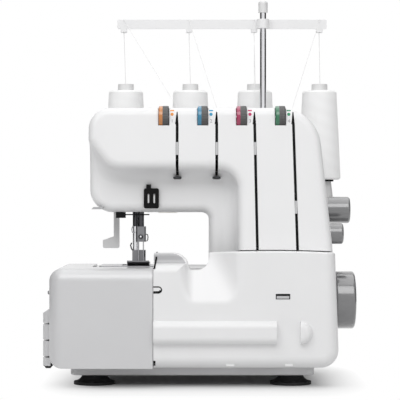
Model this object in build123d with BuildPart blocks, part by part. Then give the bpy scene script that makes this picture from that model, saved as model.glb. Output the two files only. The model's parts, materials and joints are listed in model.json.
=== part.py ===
from build123d import *
from math import cos, radians, sin, sqrt
import os

# A four-thread overlock machine, in millimetres.
# X runs to the operator's right, -Y faces the operator, and the table is at Z = 0.

# Clearances
slide_gap = 0.05
running_gap = 0.3
cover_gap = 0.6
seam_gap = 1.0

# Levels above the table
foot_height = 11
casing_bottom = 20
bed_top = 120
seam_z = 140
arm_bottom = 178
recess_top = 222
arm_top = 286

# Silhouette of the column and arm, seen from the front
arm_left = -119
throat_x = 5.5
side_low_x = 136.5
side_seam_x = 132
side_top_x = 117
low_corner = 18
flank_blend = 300
shoulder = 42
arm_end_top = 22
arm_end_low = 24
throat_corner = 8

# Depths of the casings
body_back = 50
split_y = -12
lower_front = -88
seam_front = -100
top_front = -85
recess_y = -62
recess_right = 35
recess_corner = 20
recess_lip_x = -97
recess_lip_round = 26
recess_run = 63
recess_rise = 83
wall = 2.5
cove = 15
front_round = 9
rim_round = 9
back_round = 10
seam_bow = 3
seam_reach = 85
access_top = 116
hold_x = -10
hold_z = 252
hold_width = 84
hold_height = 30
hold_depth = 14
hold_round = 8
vent_x = 75
vent_z = 60
vent_width = 3
vent_height = 34
vent_pitch = 9
vent_count = 7

# Base and feet
base_left = -137
base_right = 113.5
base_front = -92
base_back = 49
base_corner = 8
base_wall = 3
foot_inset = 23.5
foot_radius = 21.5
foot_neck = 12
foot_lip = 3

# Looper cover on the front
cover_left = -51
cover_right_low = 136.9
cover_right_seam = 132.5
cover_bottom = 21
cover_front = -124
cover_back = -89
hump_right = -18
hump_top = 137
scoop_top = 119.4
scoop_right = 35
scoop_bottom = 88
scoop_depth = 32
scoop_corner = 13
scoop_blend = 26
scoop_foot = 8
hump_lean = 3
hump_round = 15
hump_foot = 3
hump_set = 18
hump_shelf = 126
hump_cove = 5
shelf_round = 9
brow_round = 3
cover_round = 12
seam_edge = 1.5
notch_width = 2.2
notch_height = 8
grip_right = 109
grip_bottom = 46
grip_height = 23
grip_proud = 8
grip_round = 7
finger_left = 73
finger_right = 97
latch_width = 9
latch_bottom = 96.5
latch_height = 7.5
latch_slit = 1.4
mark_depth = 1.6
sight_left = 72
sight_width = 15
sight_bottom = 90.5
sight_height = 6
hinge_y = -100
hinge_z = 30
hinge_radius = 2.5
hinge_lug = 5.5
hinge_left = 14
hinge_right = 100
lug_width = 6
boss_width = 8
cover_slide = 8

# Side cover at the left end of the bed
side_left = -157
side_top = 121.5
side_back = 28
side_corner = 16
side_gap = 2
side_round = 13
side_foot = 14
side_rear_corner = 10
side_grip_left = -165
side_grip_front = -95
side_grip_back = -45
side_grip_bottom = 21
side_grip_top = 80
side_grip_slope = 5
side_groove = 1.6
side_groove_pitch = 17

# Bed
bed_left = -114
bed_front = -72
bed_back = 28
bed_bottom = 25
bed_corner = 10

# Needle plate, feed dogs and knives
plate_left = -109
plate_right = -51
plate_front = -65
plate_back = -5
plate_thick = 2
feed_x = -75
feed_pitch = 9
feed_width = 4
feed_front = -43
feed_back = -13
feed_travel = 2
feed_tooth = 2.5
feed_bite = 1.2
feed_carrier = 8
feed_bar = 6
feed_guide_front = 4
feed_guide_thick = 8
knife_x = -49.4
knife_thick = 2
knife_front = -48
knife_back = -36
knife_top = 136
knife_bar = 6
knife_bar_x = -43
knife_seat = 104
knife_travel = 4
knife_guide_z = 62
knife_guide_height = 12

# Needle bar, presser bar and foot
needle_x = -66
needle_y = -48
needle_bar_radius = 3.2
needle_bar_top = 270
clamp_width = 10.4
clamp_edge = 1.5
clamp_screw = 2
clamp_depth = 10
clamp_bottom = 147
clamp_height = 16
needle_spacing = 5
needle_slot = 4
needle_radius = 0.6
needle_tip = 117
presser_x = -72
presser_y = -36
presser_bar_radius = 3.2
presser_bar_top = 268
foot_width = 23
foot_front = -66
foot_back = -25
foot_sole = 3
ankle_width = 14
ankle_depth = 10
ankle_top = 138
ankle_seat = 6
toe_length = 8
toe_rise = 4
foot_reach = 9
spring_radius = 5.5
spring_wall = 1.2
collar_bottom = 198
collar_height = 6

# Presser lifter
lifter_x = -93
lifter_z = 188
lifter_front = -23
lifter_back = -17
lifter_hub = 6
lifter_pin = 2.5
lifter_stem = 6
lifter_toe_left = -107.6
lifter_bottom = 139.5
lifter_toe_top = 152
lifter_cam_x = 10
lifter_swing = 12

# Frame casting
frame_floor = 5
frame_left = -90
frame_front = -64
frame_back = 44
left_wall_x = 14
right_wall_x = 104
frame_wall = 8
frame_top = 262
right_wall_top = 150
wall_front = -40
wall_round = 10
beam_left = -104
beam_front = 12
beam_back = 20
beam_bottom = 184
guide_left = -84
guide_right = -59.5
guide_front = -55
guide_low = 188
guide_high = 252
guide_height = 8

# Rocker that drives the needle bar
rocker_y = 0
rocker_z = 235
rocker_radius = 4.5
rocker_lever_x = -58.5
lever_thick = 6
lever_hub = 8
lever_end = 5
pin_radius = 2
block_height = 12
block_depth = 12
block_engage = 2.5
block_lip = 1
rocker_bearing_x = -46
rocker_bearing = 12
rocker_bearing_wall = 4.5
crank_x = 26
crank_lever = 16
rod_thick = 8
rod_width = 10
rod_rim = 4

# Main shaft, handwheel and drive
shaft_y = 0
shaft_z = 83
shaft_radius = 5
shaft_left = 10
shaft_clearance = 1
bush_radius = 8
eccentric_radius = 9
eccentric_throw = 3
wheel_left = 140.2
wheel_right = 164.8
wheel_radius = 31
wheel_dome = 3
wheel_hub = 6
pulley_x = 113.5
pulley_width = 6.5
shaft_pulley_radius = 22
motor_y = 20
motor_z = 50
motor_radius = 20
motor_left = 44
motor_right = 100
motor_shaft = 3
motor_pulley_radius = 8
belt_thick = 2

# Loopers
looper_plate_back = -30
looper_plate = 4
looper_plate_left = -60
looper_plate_top = 76
looper_pin = 2.5
looper_hub = 6
looper_thick = 4
lower_looper_x = -45
lower_looper_z = 45
lower_looper_y = -52
upper_looper_x = -15
upper_looper_z = 58
upper_looper_y = -60
lower_looper_arm = ((-4, 0), (4, 0), (1, 58), (-28, 65), (-30, 63), (-6, 52))
upper_looper_arm = ((-4, 0), (4, 0), (-8, 44), (-32, 58), (-34, 56), (-16, 40))

# Thread tension dials and slots
dial_first_x = -41.3
dial_pitch = 40.03
dial_radius = 12
dial_width = 10.4
dial_y = -77.5
dial_z = 276
dial_pin = 2
dial_gap = 0.7
bracket_sheet = 2
bracket_front = -80
bracket_back = -66
bracket_bottom = 268
bracket_shoulder = -75.5
slot_tops = (-27.5, 13.2, 52, 91.7)
slot_leans = (0, 0, 2.7, 4)
slot_overrun = 5
disc_tops = (250.3, 250.3, 250.3, 190)
slot_top_z = 281.6
slot_width = 2.9
slot_mouth = 4.4
slot_tip = 0.5
slot_mouth_height = 13
slot_depth = 30
disc_height = 13
liner_width = 7
liner_thick = 3
liner_top = 272
eyelet_z = 214
eyelet_ring = 3.4
eyelet_wire = 0.6

# Thread guide window and wire guide in the recess
window_left = -62.5
window_right = -46.8
window_bottom = 182
window_top = 203
window_stem_top = 206.5
window_stem = 5
window_thick = 3.5
window_slot = 2.4
window_slot_pitch = 6
wire_block_left = -92
wire_block_right = -82
wire_block_depth = 9
wire_block_front = -56
wire_block_height = 6
wire_right = -57
wire_radius = 0.6
lamp_x = -38
lamp_y = -36
lamp_width = 20
lamp_depth = 8
lamp_height = 2.5
lamp_proud = 0.8

# Dials on the right flank
length_dial_y = 6
length_dial_z = 180
length_dial_radius = 14.3
length_dial_right = 158
feed_dial_y = -30
feed_dial_z = 155
feed_dial_radius = 11
feed_dial_right = 148
length_dial_left = 130.6
feed_dial_left = 132.5
dial_shaft = 4
dial_reach = 12
dial_edge = 2.5

# Mains inlet and switch on the right flank
inlet_y = -2
inlet_rise = 30
inlet_width = 24
inlet_height = 18
switch_y = 26
switch_width = 13
flange_thick = 2
flange_lip = 2
socket_depth = 12
rocker_key_radius = 6.5
switch_sink = 3

# Thread stand
stand_left = -114
stand_right = 158
stand_back = 132
stand_bottom = 184
stand_top = 194
stand_corner = 12
stand_wall = 3
cone_first_x = -88.4
cone_pitch = 73.5
cone_y = 100
holder_radius = 15.5
holder_height = 18
pin_top = 300
spool_pin = 3
pad_radius = 16
pad_thick = 2
core_low = 14
core_high = 8.9
core_top = 322.6
core_wall = 1.5
winding_low = 24
winding_high = 19.5
winding_top = 315
winding_round = 2
antenna_x = 66.4
antenna_y = 62
antenna_radius = 3.5
antenna_tube = 5
antenna_tube_top = 285
antenna_foot = 255
cap_radius = 5.25
cap_bottom = 400
cap_top = 413
guide_bar_left = -96.6
guide_bar_right = 138
guide_bar_bottom = 382.5
guide_bar_top = 392.7
guide_bar_back = 70
guide_bar_thick = 3
eye_first_x = -89.6
eye_pitch = 73.2
eye_y = 76
eye_bottom = 379
eye_radius = 1.6
eye_wall = 1.8
thread_radius = 0.25
thread_end_y = -74

FRONT = Plane(origin=(0, seam_front, seam_z), x_dir=(1, 0, 0), z_dir=(0, seam_z - arm_top,
                                                                      top_front - seam_front))
FLANK = Plane(origin=(side_low_x, 0, casing_bottom), x_dir=(0, 1, 0),
              z_dir=(seam_z - casing_bottom, 0, side_low_x - side_seam_x))
BASE = (Align.CENTER, Align.CENTER, Align.MIN)
far = 400


def span_box(x_span, y_span, z_span, mode=Mode.ADD):
    """A block between two X, two Y and two Z values."""
    with Locations((x_span[0], y_span[0], z_span[0])):
        Box(x_span[1] - x_span[0], y_span[1] - y_span[0], z_span[1] - z_span[0], align=Align.MIN, mode=mode)


def bar(start, direction, radius, length, mode=Mode.ADD):
    """A round bar from a start point along a direction."""
    with Locations(Plane(origin=start, z_dir=direction)):
        Cylinder(radius, length, align=BASE, mode=mode)


def front_plane(y):
    """The upright plane at depth y that faces the operator, drawn in X and Z."""
    return Plane.XZ.offset(-y)


def casing_outline(inset):
    """Front silhouette of the column and arm, drawn in by a wall's thickness for the hollow."""
    bottom = casing_bottom - 2 * inset
    corners = ((side_low_x, bottom), (side_seam_x, seam_z), (side_top_x, arm_top), (arm_left, arm_top),
               (arm_left, arm_bottom), (throat_x, arm_bottom), (throat_x, bottom))
    rounds = (low_corner, flank_blend, shoulder, arm_end_top, arm_end_low, throat_corner, 0)
    with BuildSketch() as sketch:
        with BuildLine():
            FilletPolyline(*corners, radius=rounds, close=True)
        make_face()
        if inset:
            offset(amount=-inset)
    return sketch.sketch


def recess_outline(inset):
    """The sunken field behind the needles, open to the left and below."""
    run_out = recess_lip_x - recess_run
    corners = ((recess_right, -far), (recess_right, recess_top), (recess_lip_x, recess_top),
               (run_out, recess_top + recess_rise), (run_out, -far))
    with BuildSketch() as sketch:
        with BuildLine():
            FilletPolyline(*corners, radius=(0, recess_corner, recess_lip_round, 0, 0), close=True)
        make_face()
        if inset:
            offset(amount=inset)
    return sketch.sketch


def lies_on(edge, lines):
    """Whether the middle of an edge lies on one of some lines."""
    return min(line.distance_to(edge @ 0.5) for line in lines) < 0.01


def lies_in(edge, plane):
    """Whether an edge lies in a plane."""
    return max(abs(plane.to_local_coords(edge @ place).Z) for place in (0, 0.5, 1)) < 0.01


def casing_form(inset):
    """The column and arm as one rounded form, drawn in by a wall's thickness for the hollow."""
    floor_y = recess_y + inset
    silhouette = casing_outline(inset)
    recess = recess_outline(inset)
    rim = front_plane(floor_y).from_local_coords(silhouette).edges()
    with BuildPart() as form:
        with BuildSketch(front_plane(body_back - inset)):
            add(silhouette)
        extrude(amount=body_back - seam_front + far)
        split(bisect_by=FRONT.offset(-inset), keep=Keep.BOTTOM)
        with BuildSketch(front_plane(floor_y)):
            add(recess)
        extrude(amount=far, mode=Mode.SUBTRACT)
        floor = form.edges().filter_by_position(Axis.Y, floor_y - 0.01, floor_y + 0.01)
        fillet(floor.filter_by(lambda edge: not lies_on(edge, rim)), cove - 2 * inset)
        face = form.faces().sort_by(Axis.Y)[0]
        fillet(face.edges().filter_by(lambda edge: (edge @ 0.5).Z > casing_bottom), front_round - inset)
        floor = form.edges().filter_by_position(Axis.Y, floor_y - 0.01, floor_y + 0.01)
        upright = floor.filter_by(lambda edge: (edge @ 0.5).Z > casing_bottom)
        fillet(upright.filter_by(lambda edge: lies_on(edge, rim)), rim_round - inset)
        back = form.faces().sort_by(Axis.Y)[-1]
        fillet(back.edges().filter_by(lambda edge: (edge @ 0.5).Z > casing_bottom), back_round - inset)
    return form.part


def seam_space(drop, level):
    """The space between the bowed seam over the looper cover, lowered by drop, and a level beyond it."""
    middle = (throat_x + side_seam_x) / 2
    left = (middle - seam_reach, seam_z - seam_bow - drop)
    right = (middle + seam_reach, seam_z - seam_bow - drop)
    with BuildPart() as space:
        with BuildSketch(front_plane(split_y)):
            with BuildLine():
                ThreePointArc(left, (middle, seam_z - drop), right)
                Polyline(right, (right[0], level), (left[0], level), left)
            make_face()
        extrude(amount=far)
    return space.part


def front_space():
    """The space in front of the casing split and above the seam."""
    with BuildPart() as space:
        span_box((-far, far), (-far, split_y), (0, far))
        add(seam_space(0, -far), mode=Mode.SUBTRACT)
    return space.part


def hump_cove_space(inset):
    """The space over the shelf at the foot of the cover's hump, whose face is set back."""
    shelf = hump_shelf - inset
    face_y = cover_front + hump_set + inset
    crest = shelf_round - inset
    hollow = hump_cove + inset
    with BuildPart() as space:
        with BuildSketch(Plane.YZ.offset(-far)):
            with BuildLine():
                Line((cover_front - 1, far), (cover_front - 1, shelf - crest))
                Line((cover_front - 1, shelf - crest), (cover_front + inset, shelf - crest))
                RadiusArc((cover_front + inset, shelf - crest), (cover_front + inset + crest, shelf), crest)
                Line((cover_front + inset + crest, shelf), (face_y - hollow, shelf))
                RadiusArc((face_y - hollow, shelf), (face_y, shelf + hollow), -hollow)
                Line((face_y, shelf + hollow), (face_y, far))
                Line((face_y, far), (cover_front - 1, far))
            make_face()
        extrude(amount=far + hump_right + hump_lean)
    return space.part


def cover_form(inset):
    """The looper cover as a rounded form, drawn in by a wall's thickness for its hollow."""
    high = seam_z + seam_bow
    corners = ((cover_left, cover_bottom), (cover_right_low, cover_bottom), (cover_right_seam, high),
               (throat_x, high),
               (throat_x, scoop_top), (hump_right + hump_lean, scoop_top), (hump_right, hump_top),
               (cover_left, hump_top))
    rounds = (0, low_corner, 0, 0, scoop_corner, hump_foot, hump_round, 0)
    slope = Plane(origin=(0, cover_front, scoop_bottom), x_dir=(1, 0, 0), z_dir=(0, scoop_bottom - high,
                                                                                 scoop_depth))
    bevel = Plane(origin=(scoop_right + inset, cover_front, 0), x_dir=(0, 0, 1), z_dir=(1, 1, 0))
    with BuildPart() as scoop:
        span_box((hump_right - inset, far), (cover_front - scoop_depth, cover_back), (0, far))
        split(bisect_by=slope.offset(-inset), keep=Keep.TOP)
        split(bisect_by=bevel, keep=Keep.BOTTOM)
        floor = scoop.edges().filter_by(lambda edge: lies_in(edge, slope.offset(-inset)))
        fillet(floor.filter_by(lambda edge: lies_in(edge, bevel)), scoop_blend + inset)
        floor = scoop.edges().filter_by(lambda edge: lies_in(edge, slope.offset(-inset)))
        fillet(floor.filter_by(Axis.X, reverse=True).group_by(Axis.X)[0], scoop_foot + inset)
    with BuildPart() as form:
        with BuildSketch(front_plane(cover_back)):
            with BuildLine():
                FilletPolyline(*corners, radius=rounds, close=True)
            make_face()
            if inset:
                offset(amount=-inset)
        extrude(amount=cover_back - cover_front - inset)
        add(scoop.part, mode=Mode.SUBTRACT)
        add(seam_space(seam_gap + inset, far), mode=Mode.SUBTRACT)
        low = seam_z - seam_bow - seam_gap - 2 * inset - 1
        face_edges = form.faces().sort_by(Axis.Y)[0].edges()
        face_edges = face_edges.filter_by(lambda edge: (edge @ 0.5).X > cover_left + 2 * inset + 1)
        fillet(face_edges.filter_by(lambda edge: (edge @ 0.5).X < throat_x or (edge @ 0.5).Z < low),
               cover_round - inset)
        if not inset:
            tops = form.faces().filter_by(GeomType.CYLINDER).filter_by(lambda face: face.center().Z > low)
            rim = tops.sort_by(SortBy.AREA)[-1].edges()
            fillet(rim.filter_by(lambda edge: (edge @ 0.5).Y < cover_back - 1 and (edge @ 0.5).X > throat_x),
                   seam_edge)
        add(hump_cove_space(inset), mode=Mode.SUBTRACT)
        if not inset:
            brow = form.edges().filter_by(lambda edge: lies_in(edge, front_plane(cover_front + hump_set)))
            brow = brow.filter_by(lambda edge: (edge @ 0.5).Z > hump_shelf + hump_cove + 1)
            fillet(brow.filter_by(lambda edge: (edge @ 0.5).X > cover_left + 1), brow_round)
    return form.part


def side_form(inset):
    """The side cover as a rounded form that wraps the bed, drawn in where it has walls for its hollow."""
    right = cover_left - cover_gap + inset
    corner = (bed_left - side_gap + inset, bed_front - side_gap + inset)
    with BuildPart() as form:
        with BuildSketch(Plane.XY.offset(cover_bottom - 2 * inset)):
            with BuildLine():
                Polyline((side_left + inset, cover_front + inset), (right, cover_front + inset), (right,
                                                                                                  corner[1]),
                         corner, (corner[0], side_back - inset), (side_left + inset, side_back - inset),
                         close=True)
            make_face()
        extrude(amount=side_top - cover_bottom + inset)
        uprights = form.edges().filter_by(Axis.Z).group_by(Axis.X)[0].sort_by(Axis.Y)
        fillet(uprights[0], side_corner - inset)
        fillet(uprights[-1], side_rear_corner - inset)
        rim = form.faces().sort_by(Axis.Z)[-1].edges()
        outer = rim.filter_by(lambda edge: (edge @ 0.5).Y < cover_front + side_corner
                              or (edge @ 0.5).X < side_left + side_corner
                              or (edge @ 0.5).Y > side_back - side_corner)
        fillet(outer, side_round - inset)
        with BuildSketch(front_plane(side_back)):
            with BuildLine():
                FilletPolyline((side_left + inset, side_top), (side_left + inset, cover_bottom + inset),
                               (right, cover_bottom + inset), (right, side_top),
                               radius=(0, side_foot - inset, 0, 0), close=True)
            make_face()
            with Locations(((side_left + side_foot + right) / 2, (cover_bottom + side_top) / 2 - inset)):
                Rectangle(right - side_left - side_foot, side_top - cover_bottom + 2 * inset)
        extrude(amount=side_back - cover_front, mode=Mode.INTERSECT)
    return form.part


def feed_teeth():
    """The saw-toothed profile of a feed dog, drawn in Y and Z."""
    top = bed_top + plate_thick
    count = round((feed_back - feed_front) / feed_tooth)
    pitch = (feed_back - feed_front) / count
    points = [(feed_front, feed_base)]
    for tooth in range(count):
        start = feed_front + tooth * pitch
        points += [(start, top - feed_bite), (start + pitch * 0.9, top)]
    return points + [(feed_back, top - feed_bite), (feed_back, feed_base)]


def front_rise(z):
    """How far up the sloping front a height lies, from the seam."""
    return (z - seam_z) * sqrt(1 + ((top_front - seam_front) / (arm_top - seam_z)) ** 2)


def slot_end(top_x):
    """The height a thread slot runs down to: the recess for needle threads, the seam for loopers."""
    return (recess_top if top_x < recess_right else seam_z) - slot_overrun


def slot_outline(top_x, lean):
    """A thread slot on the sloping front, with a wider mouth at its top."""
    top = front_rise(slot_top_z)
    end = front_rise(slot_end(top_x))
    neck = top - slot_mouth_height
    middle = top_x + lean * slot_mouth_height / (top - end)
    with BuildSketch() as sketch:
        with BuildLine():
            Polyline((top_x - slot_tip, top), (top_x + slot_tip, top), (middle + slot_width / 2, neck),
                     (top_x + lean + slot_width / 2, end), (top_x + lean - slot_width / 2, end),
                     (middle - slot_width / 2, neck), (middle - slot_mouth / 2, neck), close=True)
        make_face()
    return sketch.sketch


def belt_outline(grow):
    """The line round both pulleys, grown by a gap or by the belt."""
    with BuildSketch() as sketch:
        with BuildLine():
            CenterArc((shaft_y, shaft_z), shaft_pulley_radius + grow, 0, 360)
            CenterArc((motor_y, motor_z), motor_pulley_radius + grow, 0, 360)
        make_hull()
    return sketch.sketch


def lever_outline(end_y):
    """A tapered lever from the rocker axis to a pin at depth end_y."""
    with BuildSketch() as sketch:
        with BuildLine():
            CenterArc((rocker_y, rocker_z), lever_hub, 0, 360)
            CenterArc((end_y, rocker_z), lever_end, 0, 360)
        make_hull()
    return sketch.sketch


def hand_hold(skin):
    """The hand hold sunk into the back of the arm, grown by a wall's thickness for its pocket."""
    with BuildPart() as hold:
        with BuildSketch(front_plane(body_back)):
            with Locations((hold_x, hold_z)):
                RectangleRounded(hold_width + 2 * skin, hold_height + 2 * skin, hold_round + skin)
        extrude(amount=hold_depth + skin)
    return hold.part


casing_outer = casing_form(0)
casing_inner = casing_form(wall)
casing_front = front_space()
side_outer = side_form(0)
side_inner = side_form(wall)
cover_outer = cover_form(0)
cover_inner = cover_form(wall)
dial_places = [dial_first_x + step * dial_pitch for step in range(4)]
cone_places = [cone_first_x + step * cone_pitch for step in range(4)]
eye_places = [eye_first_x + step * eye_pitch for step in range(4)]
foot_places = [(x, y) for x in (base_left + foot_inset, base_right - foot_inset)
               for y in (base_front + foot_inset, base_back - foot_inset)]
hinge_bosses = (hinge_left + lug_width + wall, hinge_right - cover_slide - boss_width - wall)
feed_base = bed_top - feed_carrier
knife_y = (knife_front + knife_back) / 2
foot_middle = needle_x - foot_width / 2 + foot_reach
block_right = rocker_lever_x - seam_gap
cam_top = collar_bottom - cover_gap
rod_left = crank_x + lever_thick + seam_gap
eye_wide = eccentric_radius + eccentric_throw + cover_gap
eye_high = eccentric_radius + 2 * eccentric_throw + cover_gap
cove_drop = eyelet_z - recess_top + cove
eyelet_y = recess_y - cove + sqrt(cove ** 2 - cove_drop ** 2) - running_gap - eyelet_ring - eyelet_wire
pad_bottom = stand_top + holder_height
cone_bottom = pad_bottom + pad_thick
switch_axis = Plane(origin=FLANK.from_local_coords((switch_y, inlet_rise, -switch_sink)), z_dir=(0, 1, 0))
os.makedirs("parts", exist_ok=True)

# Front casing with its thread slots, tension dial openings and needle opening
with BuildPart() as front_casing:
    add(casing_outer)
    add(casing_inner, mode=Mode.SUBTRACT)
    bar((feed_dial_left - running_gap, feed_dial_y, feed_dial_z), (-1, 0, 0), feed_dial_radius - wall,
        dial_reach)
    add(casing_front, mode=Mode.INTERSECT)
    bar((feed_dial_left, feed_dial_y, feed_dial_z), (-1, 0, 0), dial_shaft + slide_gap, 2 * dial_reach,
        mode=Mode.SUBTRACT)
    for dial_x in dial_places:
        bar((dial_x - dial_width / 2 - dial_gap, dial_y, dial_z), (1, 0, 0), dial_radius + dial_gap,
            dial_width + 2 * dial_gap, mode=Mode.SUBTRACT)
    with BuildSketch(FRONT):
        for top_x, lean in zip(slot_tops, slot_leans):
            add(slot_outline(top_x, lean))
    extrude(amount=-slot_depth, mode=Mode.SUBTRACT)
    span_box((guide_left, guide_right), (guide_front, split_y - wall), (arm_bottom - rim_round, guide_low),
             mode=Mode.SUBTRACT)
    with BuildSketch(Plane.XY.offset(arm_bottom - lamp_height)):
        with Locations((lamp_x, lamp_y)):
            RectangleRounded(lamp_width + 2 * slide_gap, lamp_depth + 2 * slide_gap, lamp_depth / 3)
    extrude(amount=2 * lamp_height - lamp_proud, mode=Mode.SUBTRACT)
    span_box((lifter_x - lifter_swing, guide_left), (lifter_front - wall, lifter_back + wall),
             (arm_bottom - wall, guide_low), mode=Mode.SUBTRACT)
front_casing.part.label = "front_casing"
export_step(front_casing.part, "parts/front_casing.step")

# Rear casing with the column, the hand hold, the vents and the openings for shaft, inlet and switch
with BuildPart() as rear_casing:
    add(casing_outer)
    add(casing_inner, mode=Mode.SUBTRACT)
    bar((length_dial_left - running_gap, length_dial_y, length_dial_z), (-1, 0, 0),
        length_dial_radius - wall, dial_reach)
    add(hand_hold(wall))
    add(hand_hold(0), mode=Mode.SUBTRACT)
    add(casing_front, mode=Mode.SUBTRACT)
    span_box((-far, far), (-far, lower_front), (0, seam_z + seam_bow), mode=Mode.SUBTRACT)
    span_box((0, recess_right + front_round), (lower_front, recess_y + cove), (0, access_top),
             mode=Mode.SUBTRACT)
    span_box((0, throat_x + cove), (recess_y, bed_back - 2 * wall), (0, bed_top - 2 * wall),
             mode=Mode.SUBTRACT)
    bar((length_dial_left, length_dial_y, length_dial_z), (-1, 0, 0), dial_shaft + slide_gap,
        2 * dial_reach,
        mode=Mode.SUBTRACT)
    bar((wheel_left, shaft_y, shaft_z), (-1, 0, 0), shaft_radius + shaft_clearance, 2 * dial_reach,
        mode=Mode.SUBTRACT)
    with BuildSketch(FLANK.offset(-2 * wall)):
        with Locations((inlet_y, inlet_rise)):
            Rectangle(inlet_width, inlet_height)
        with Locations((switch_y, inlet_rise)):
            Rectangle(switch_width, inlet_height)
    extrude(amount=4 * wall, mode=Mode.SUBTRACT)
    with BuildSketch(front_plane(body_back + wall)):
        with Locations((vent_x, vent_z)):
            with GridLocations(vent_pitch, vent_pitch, vent_count, 1):
                SlotOverall(vent_height, vent_width, rotation=90)
    extrude(amount=3 * wall, mode=Mode.SUBTRACT)
rear_casing.part.label = "rear_casing"
export_step(rear_casing.part, "parts/rear_casing.step")

# Base tray with a pocket below and a boss over each foot
with BuildPart() as base_tray:
    with BuildSketch(Plane.XY.offset(foot_height)):
        with Locations(((base_left + base_right) / 2, (base_front + base_back) / 2)):
            RectangleRounded(base_right - base_left, base_back - base_front, base_corner)
    extrude(amount=casing_bottom - foot_height)
    fillet(base_tray.faces().sort_by(Axis.Z)[0].edges(), base_wall - 1)
    with BuildSketch(Plane.XY.offset(foot_height)):
        with Locations(((base_left + base_right) / 2, (base_front + base_back) / 2)):
            RectangleRounded(base_right - base_left - 2 * base_wall, base_back - base_front - 2 * base_wall,
                             base_corner - base_wall)
    extrude(amount=casing_bottom - foot_height - base_wall, mode=Mode.SUBTRACT)
    for foot_x, foot_y in foot_places:
        bar((foot_x, foot_y, foot_height), (0, 0, 1), foot_neck, casing_bottom - foot_height - base_wall)
base_tray.part.label = "base_tray"
export_step(base_tray.part, "parts/base_tray.step")

# Flared rubber feet
with BuildPart() as rubber_feet:
    for foot_x, foot_y in foot_places:
        with BuildSketch(Plane(origin=(foot_x, foot_y, 0), x_dir=(1, 0, 0), z_dir=(0, -1, 0))):
            with BuildLine():
                Polyline((foot_neck, foot_height), (0, foot_height), (0, 0), (foot_radius, 0),
                         (foot_radius, foot_lip))
                RadiusArc((foot_radius, foot_lip), (foot_neck, foot_height), foot_height)
            make_face()
        revolve(axis=Axis((foot_x, foot_y, 0), (0, 0, 1)))
rubber_feet.part.label = "rubber_feet"
export_step(rubber_feet.part, "parts/rubber_feet.step")

# Looper cover that slides to the right and swings open
with BuildPart() as front_cover:
    add(cover_outer)
    add(cover_inner, mode=Mode.SUBTRACT)
    with BuildSketch(front_plane(cover_front + wall)):
        with Locations(((grip_right + cover_left - grip_height) / 2, grip_bottom + grip_height / 2)):
            SlotOverall(grip_right - cover_left + grip_height, grip_height)
    extrude(amount=grip_proud + wall)
    grip_face = front_cover.faces().sort_by(Axis.Y)[0]
    fillet(grip_face.edges(), grip_round)
    span_box((-far, cover_left), (-far, cover_back), (0, far), mode=Mode.SUBTRACT)
    span_box((-far, cover_left + notch_width), (-far, cover_front + wall), (0, cover_bottom + notch_height),
             mode=Mode.SUBTRACT)
    with BuildSketch(front_plane(cover_front)):
        with Locations(((finger_left + finger_right) / 2, grip_bottom + grip_height / 2)):
            RectangleRounded(finger_right - finger_left, grip_height + 1, 1)
    extrude(amount=2 * grip_proud, mode=Mode.SUBTRACT)
    with BuildSketch(front_plane(cover_front + mark_depth)):
        with Locations((cover_left, latch_bottom + latch_height / 2)):
            SlotOverall(2 * latch_width, latch_height)
            SlotOverall(2 * latch_width - 2 * latch_slit, latch_height - 2 * latch_slit, mode=Mode.SUBTRACT)
    extrude(amount=2 * wall, mode=Mode.SUBTRACT)
    with BuildSketch(front_plane(cover_front + mark_depth)):
        with Locations((sight_left + sight_width / 2, sight_bottom + sight_height / 2)):
            RectangleRounded(sight_width, sight_height, 1)
    extrude(amount=2 * wall, mode=Mode.SUBTRACT)
    for boss_x in hinge_bosses:
        span_box((boss_x, boss_x + boss_width), (cover_front + wall, hinge_y), (cover_bottom + wall,
                                                                                hinge_z + hinge_lug))
        bar((boss_x, hinge_y, hinge_z), (1, 0, 0), hinge_lug, boss_width)
    span_box((-far, hinge_bosses[0]), (hinge_y, 0), (0, hinge_z + 1), mode=Mode.SUBTRACT)
    span_box((hinge_bosses[0] + boss_width, hinge_bosses[1]), (hinge_y, 0), (0, hinge_z + 1),
             mode=Mode.SUBTRACT)
    span_box((hinge_bosses[1] + boss_width, far), (hinge_y, 0), (0, hinge_z + 1), mode=Mode.SUBTRACT)
    span_box((-far, far), (cover_back - front_round + wall, 0), (seam_z - front_round, far),
             mode=Mode.SUBTRACT)
    bar((hinge_left, hinge_y, hinge_z), (1, 0, 0), hinge_radius + slide_gap, far, mode=Mode.SUBTRACT)
front_cover.part.label = "front_cover"
export_step(front_cover.part, "parts/front_cover.step")

# Rod that the looper cover turns on, free to slide in the lugs of the frame
with BuildPart() as cover_hinge_rod:
    bar((hinge_left - lug_width, hinge_y, hinge_z), (1, 0, 0), hinge_radius,
        hinge_right - hinge_left + 3 * lug_width)
    chamfer(cover_hinge_rod.edges(), 0.5)
cover_hinge_rod.part.label = "cover_hinge_rod"
export_step(cover_hinge_rod.part, "parts/cover_hinge_rod.step")

# Side cover that wraps the front and the left end of the free arm
with BuildPart() as side_cover:
    add(side_outer)
    add(side_inner, mode=Mode.SUBTRACT)
side_cover.part.label = "side_cover"
export_step(side_cover.part, "parts/side_cover.step")

# Ribbed finger grip on the left end of the side cover
with BuildPart() as side_grip:
    with BuildSketch(front_plane(side_grip_back)):
        with BuildLine():
            Polyline((side_left, side_grip_bottom), (side_left, side_grip_top),
                     (side_grip_left, side_grip_top - side_grip_slope), (side_grip_left,
                                                                         side_grip_bottom), close=True)
        make_face()
    extrude(amount=side_grip_back - side_grip_front)
    fillet(side_grip.edges().filter_by(Axis.Z).group_by(Axis.X)[0], side_grip_slope)
    for groove in range(3):
        groove_z = side_grip_bottom + side_groove_pitch * (groove + 0.5)
        span_box((side_grip_left, side_left - wall), (-far, far), (groove_z, groove_z + side_groove),
                 mode=Mode.SUBTRACT)
side_grip.part.label = "side_grip"
export_step(side_grip.part, "parts/side_grip.step")

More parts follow.
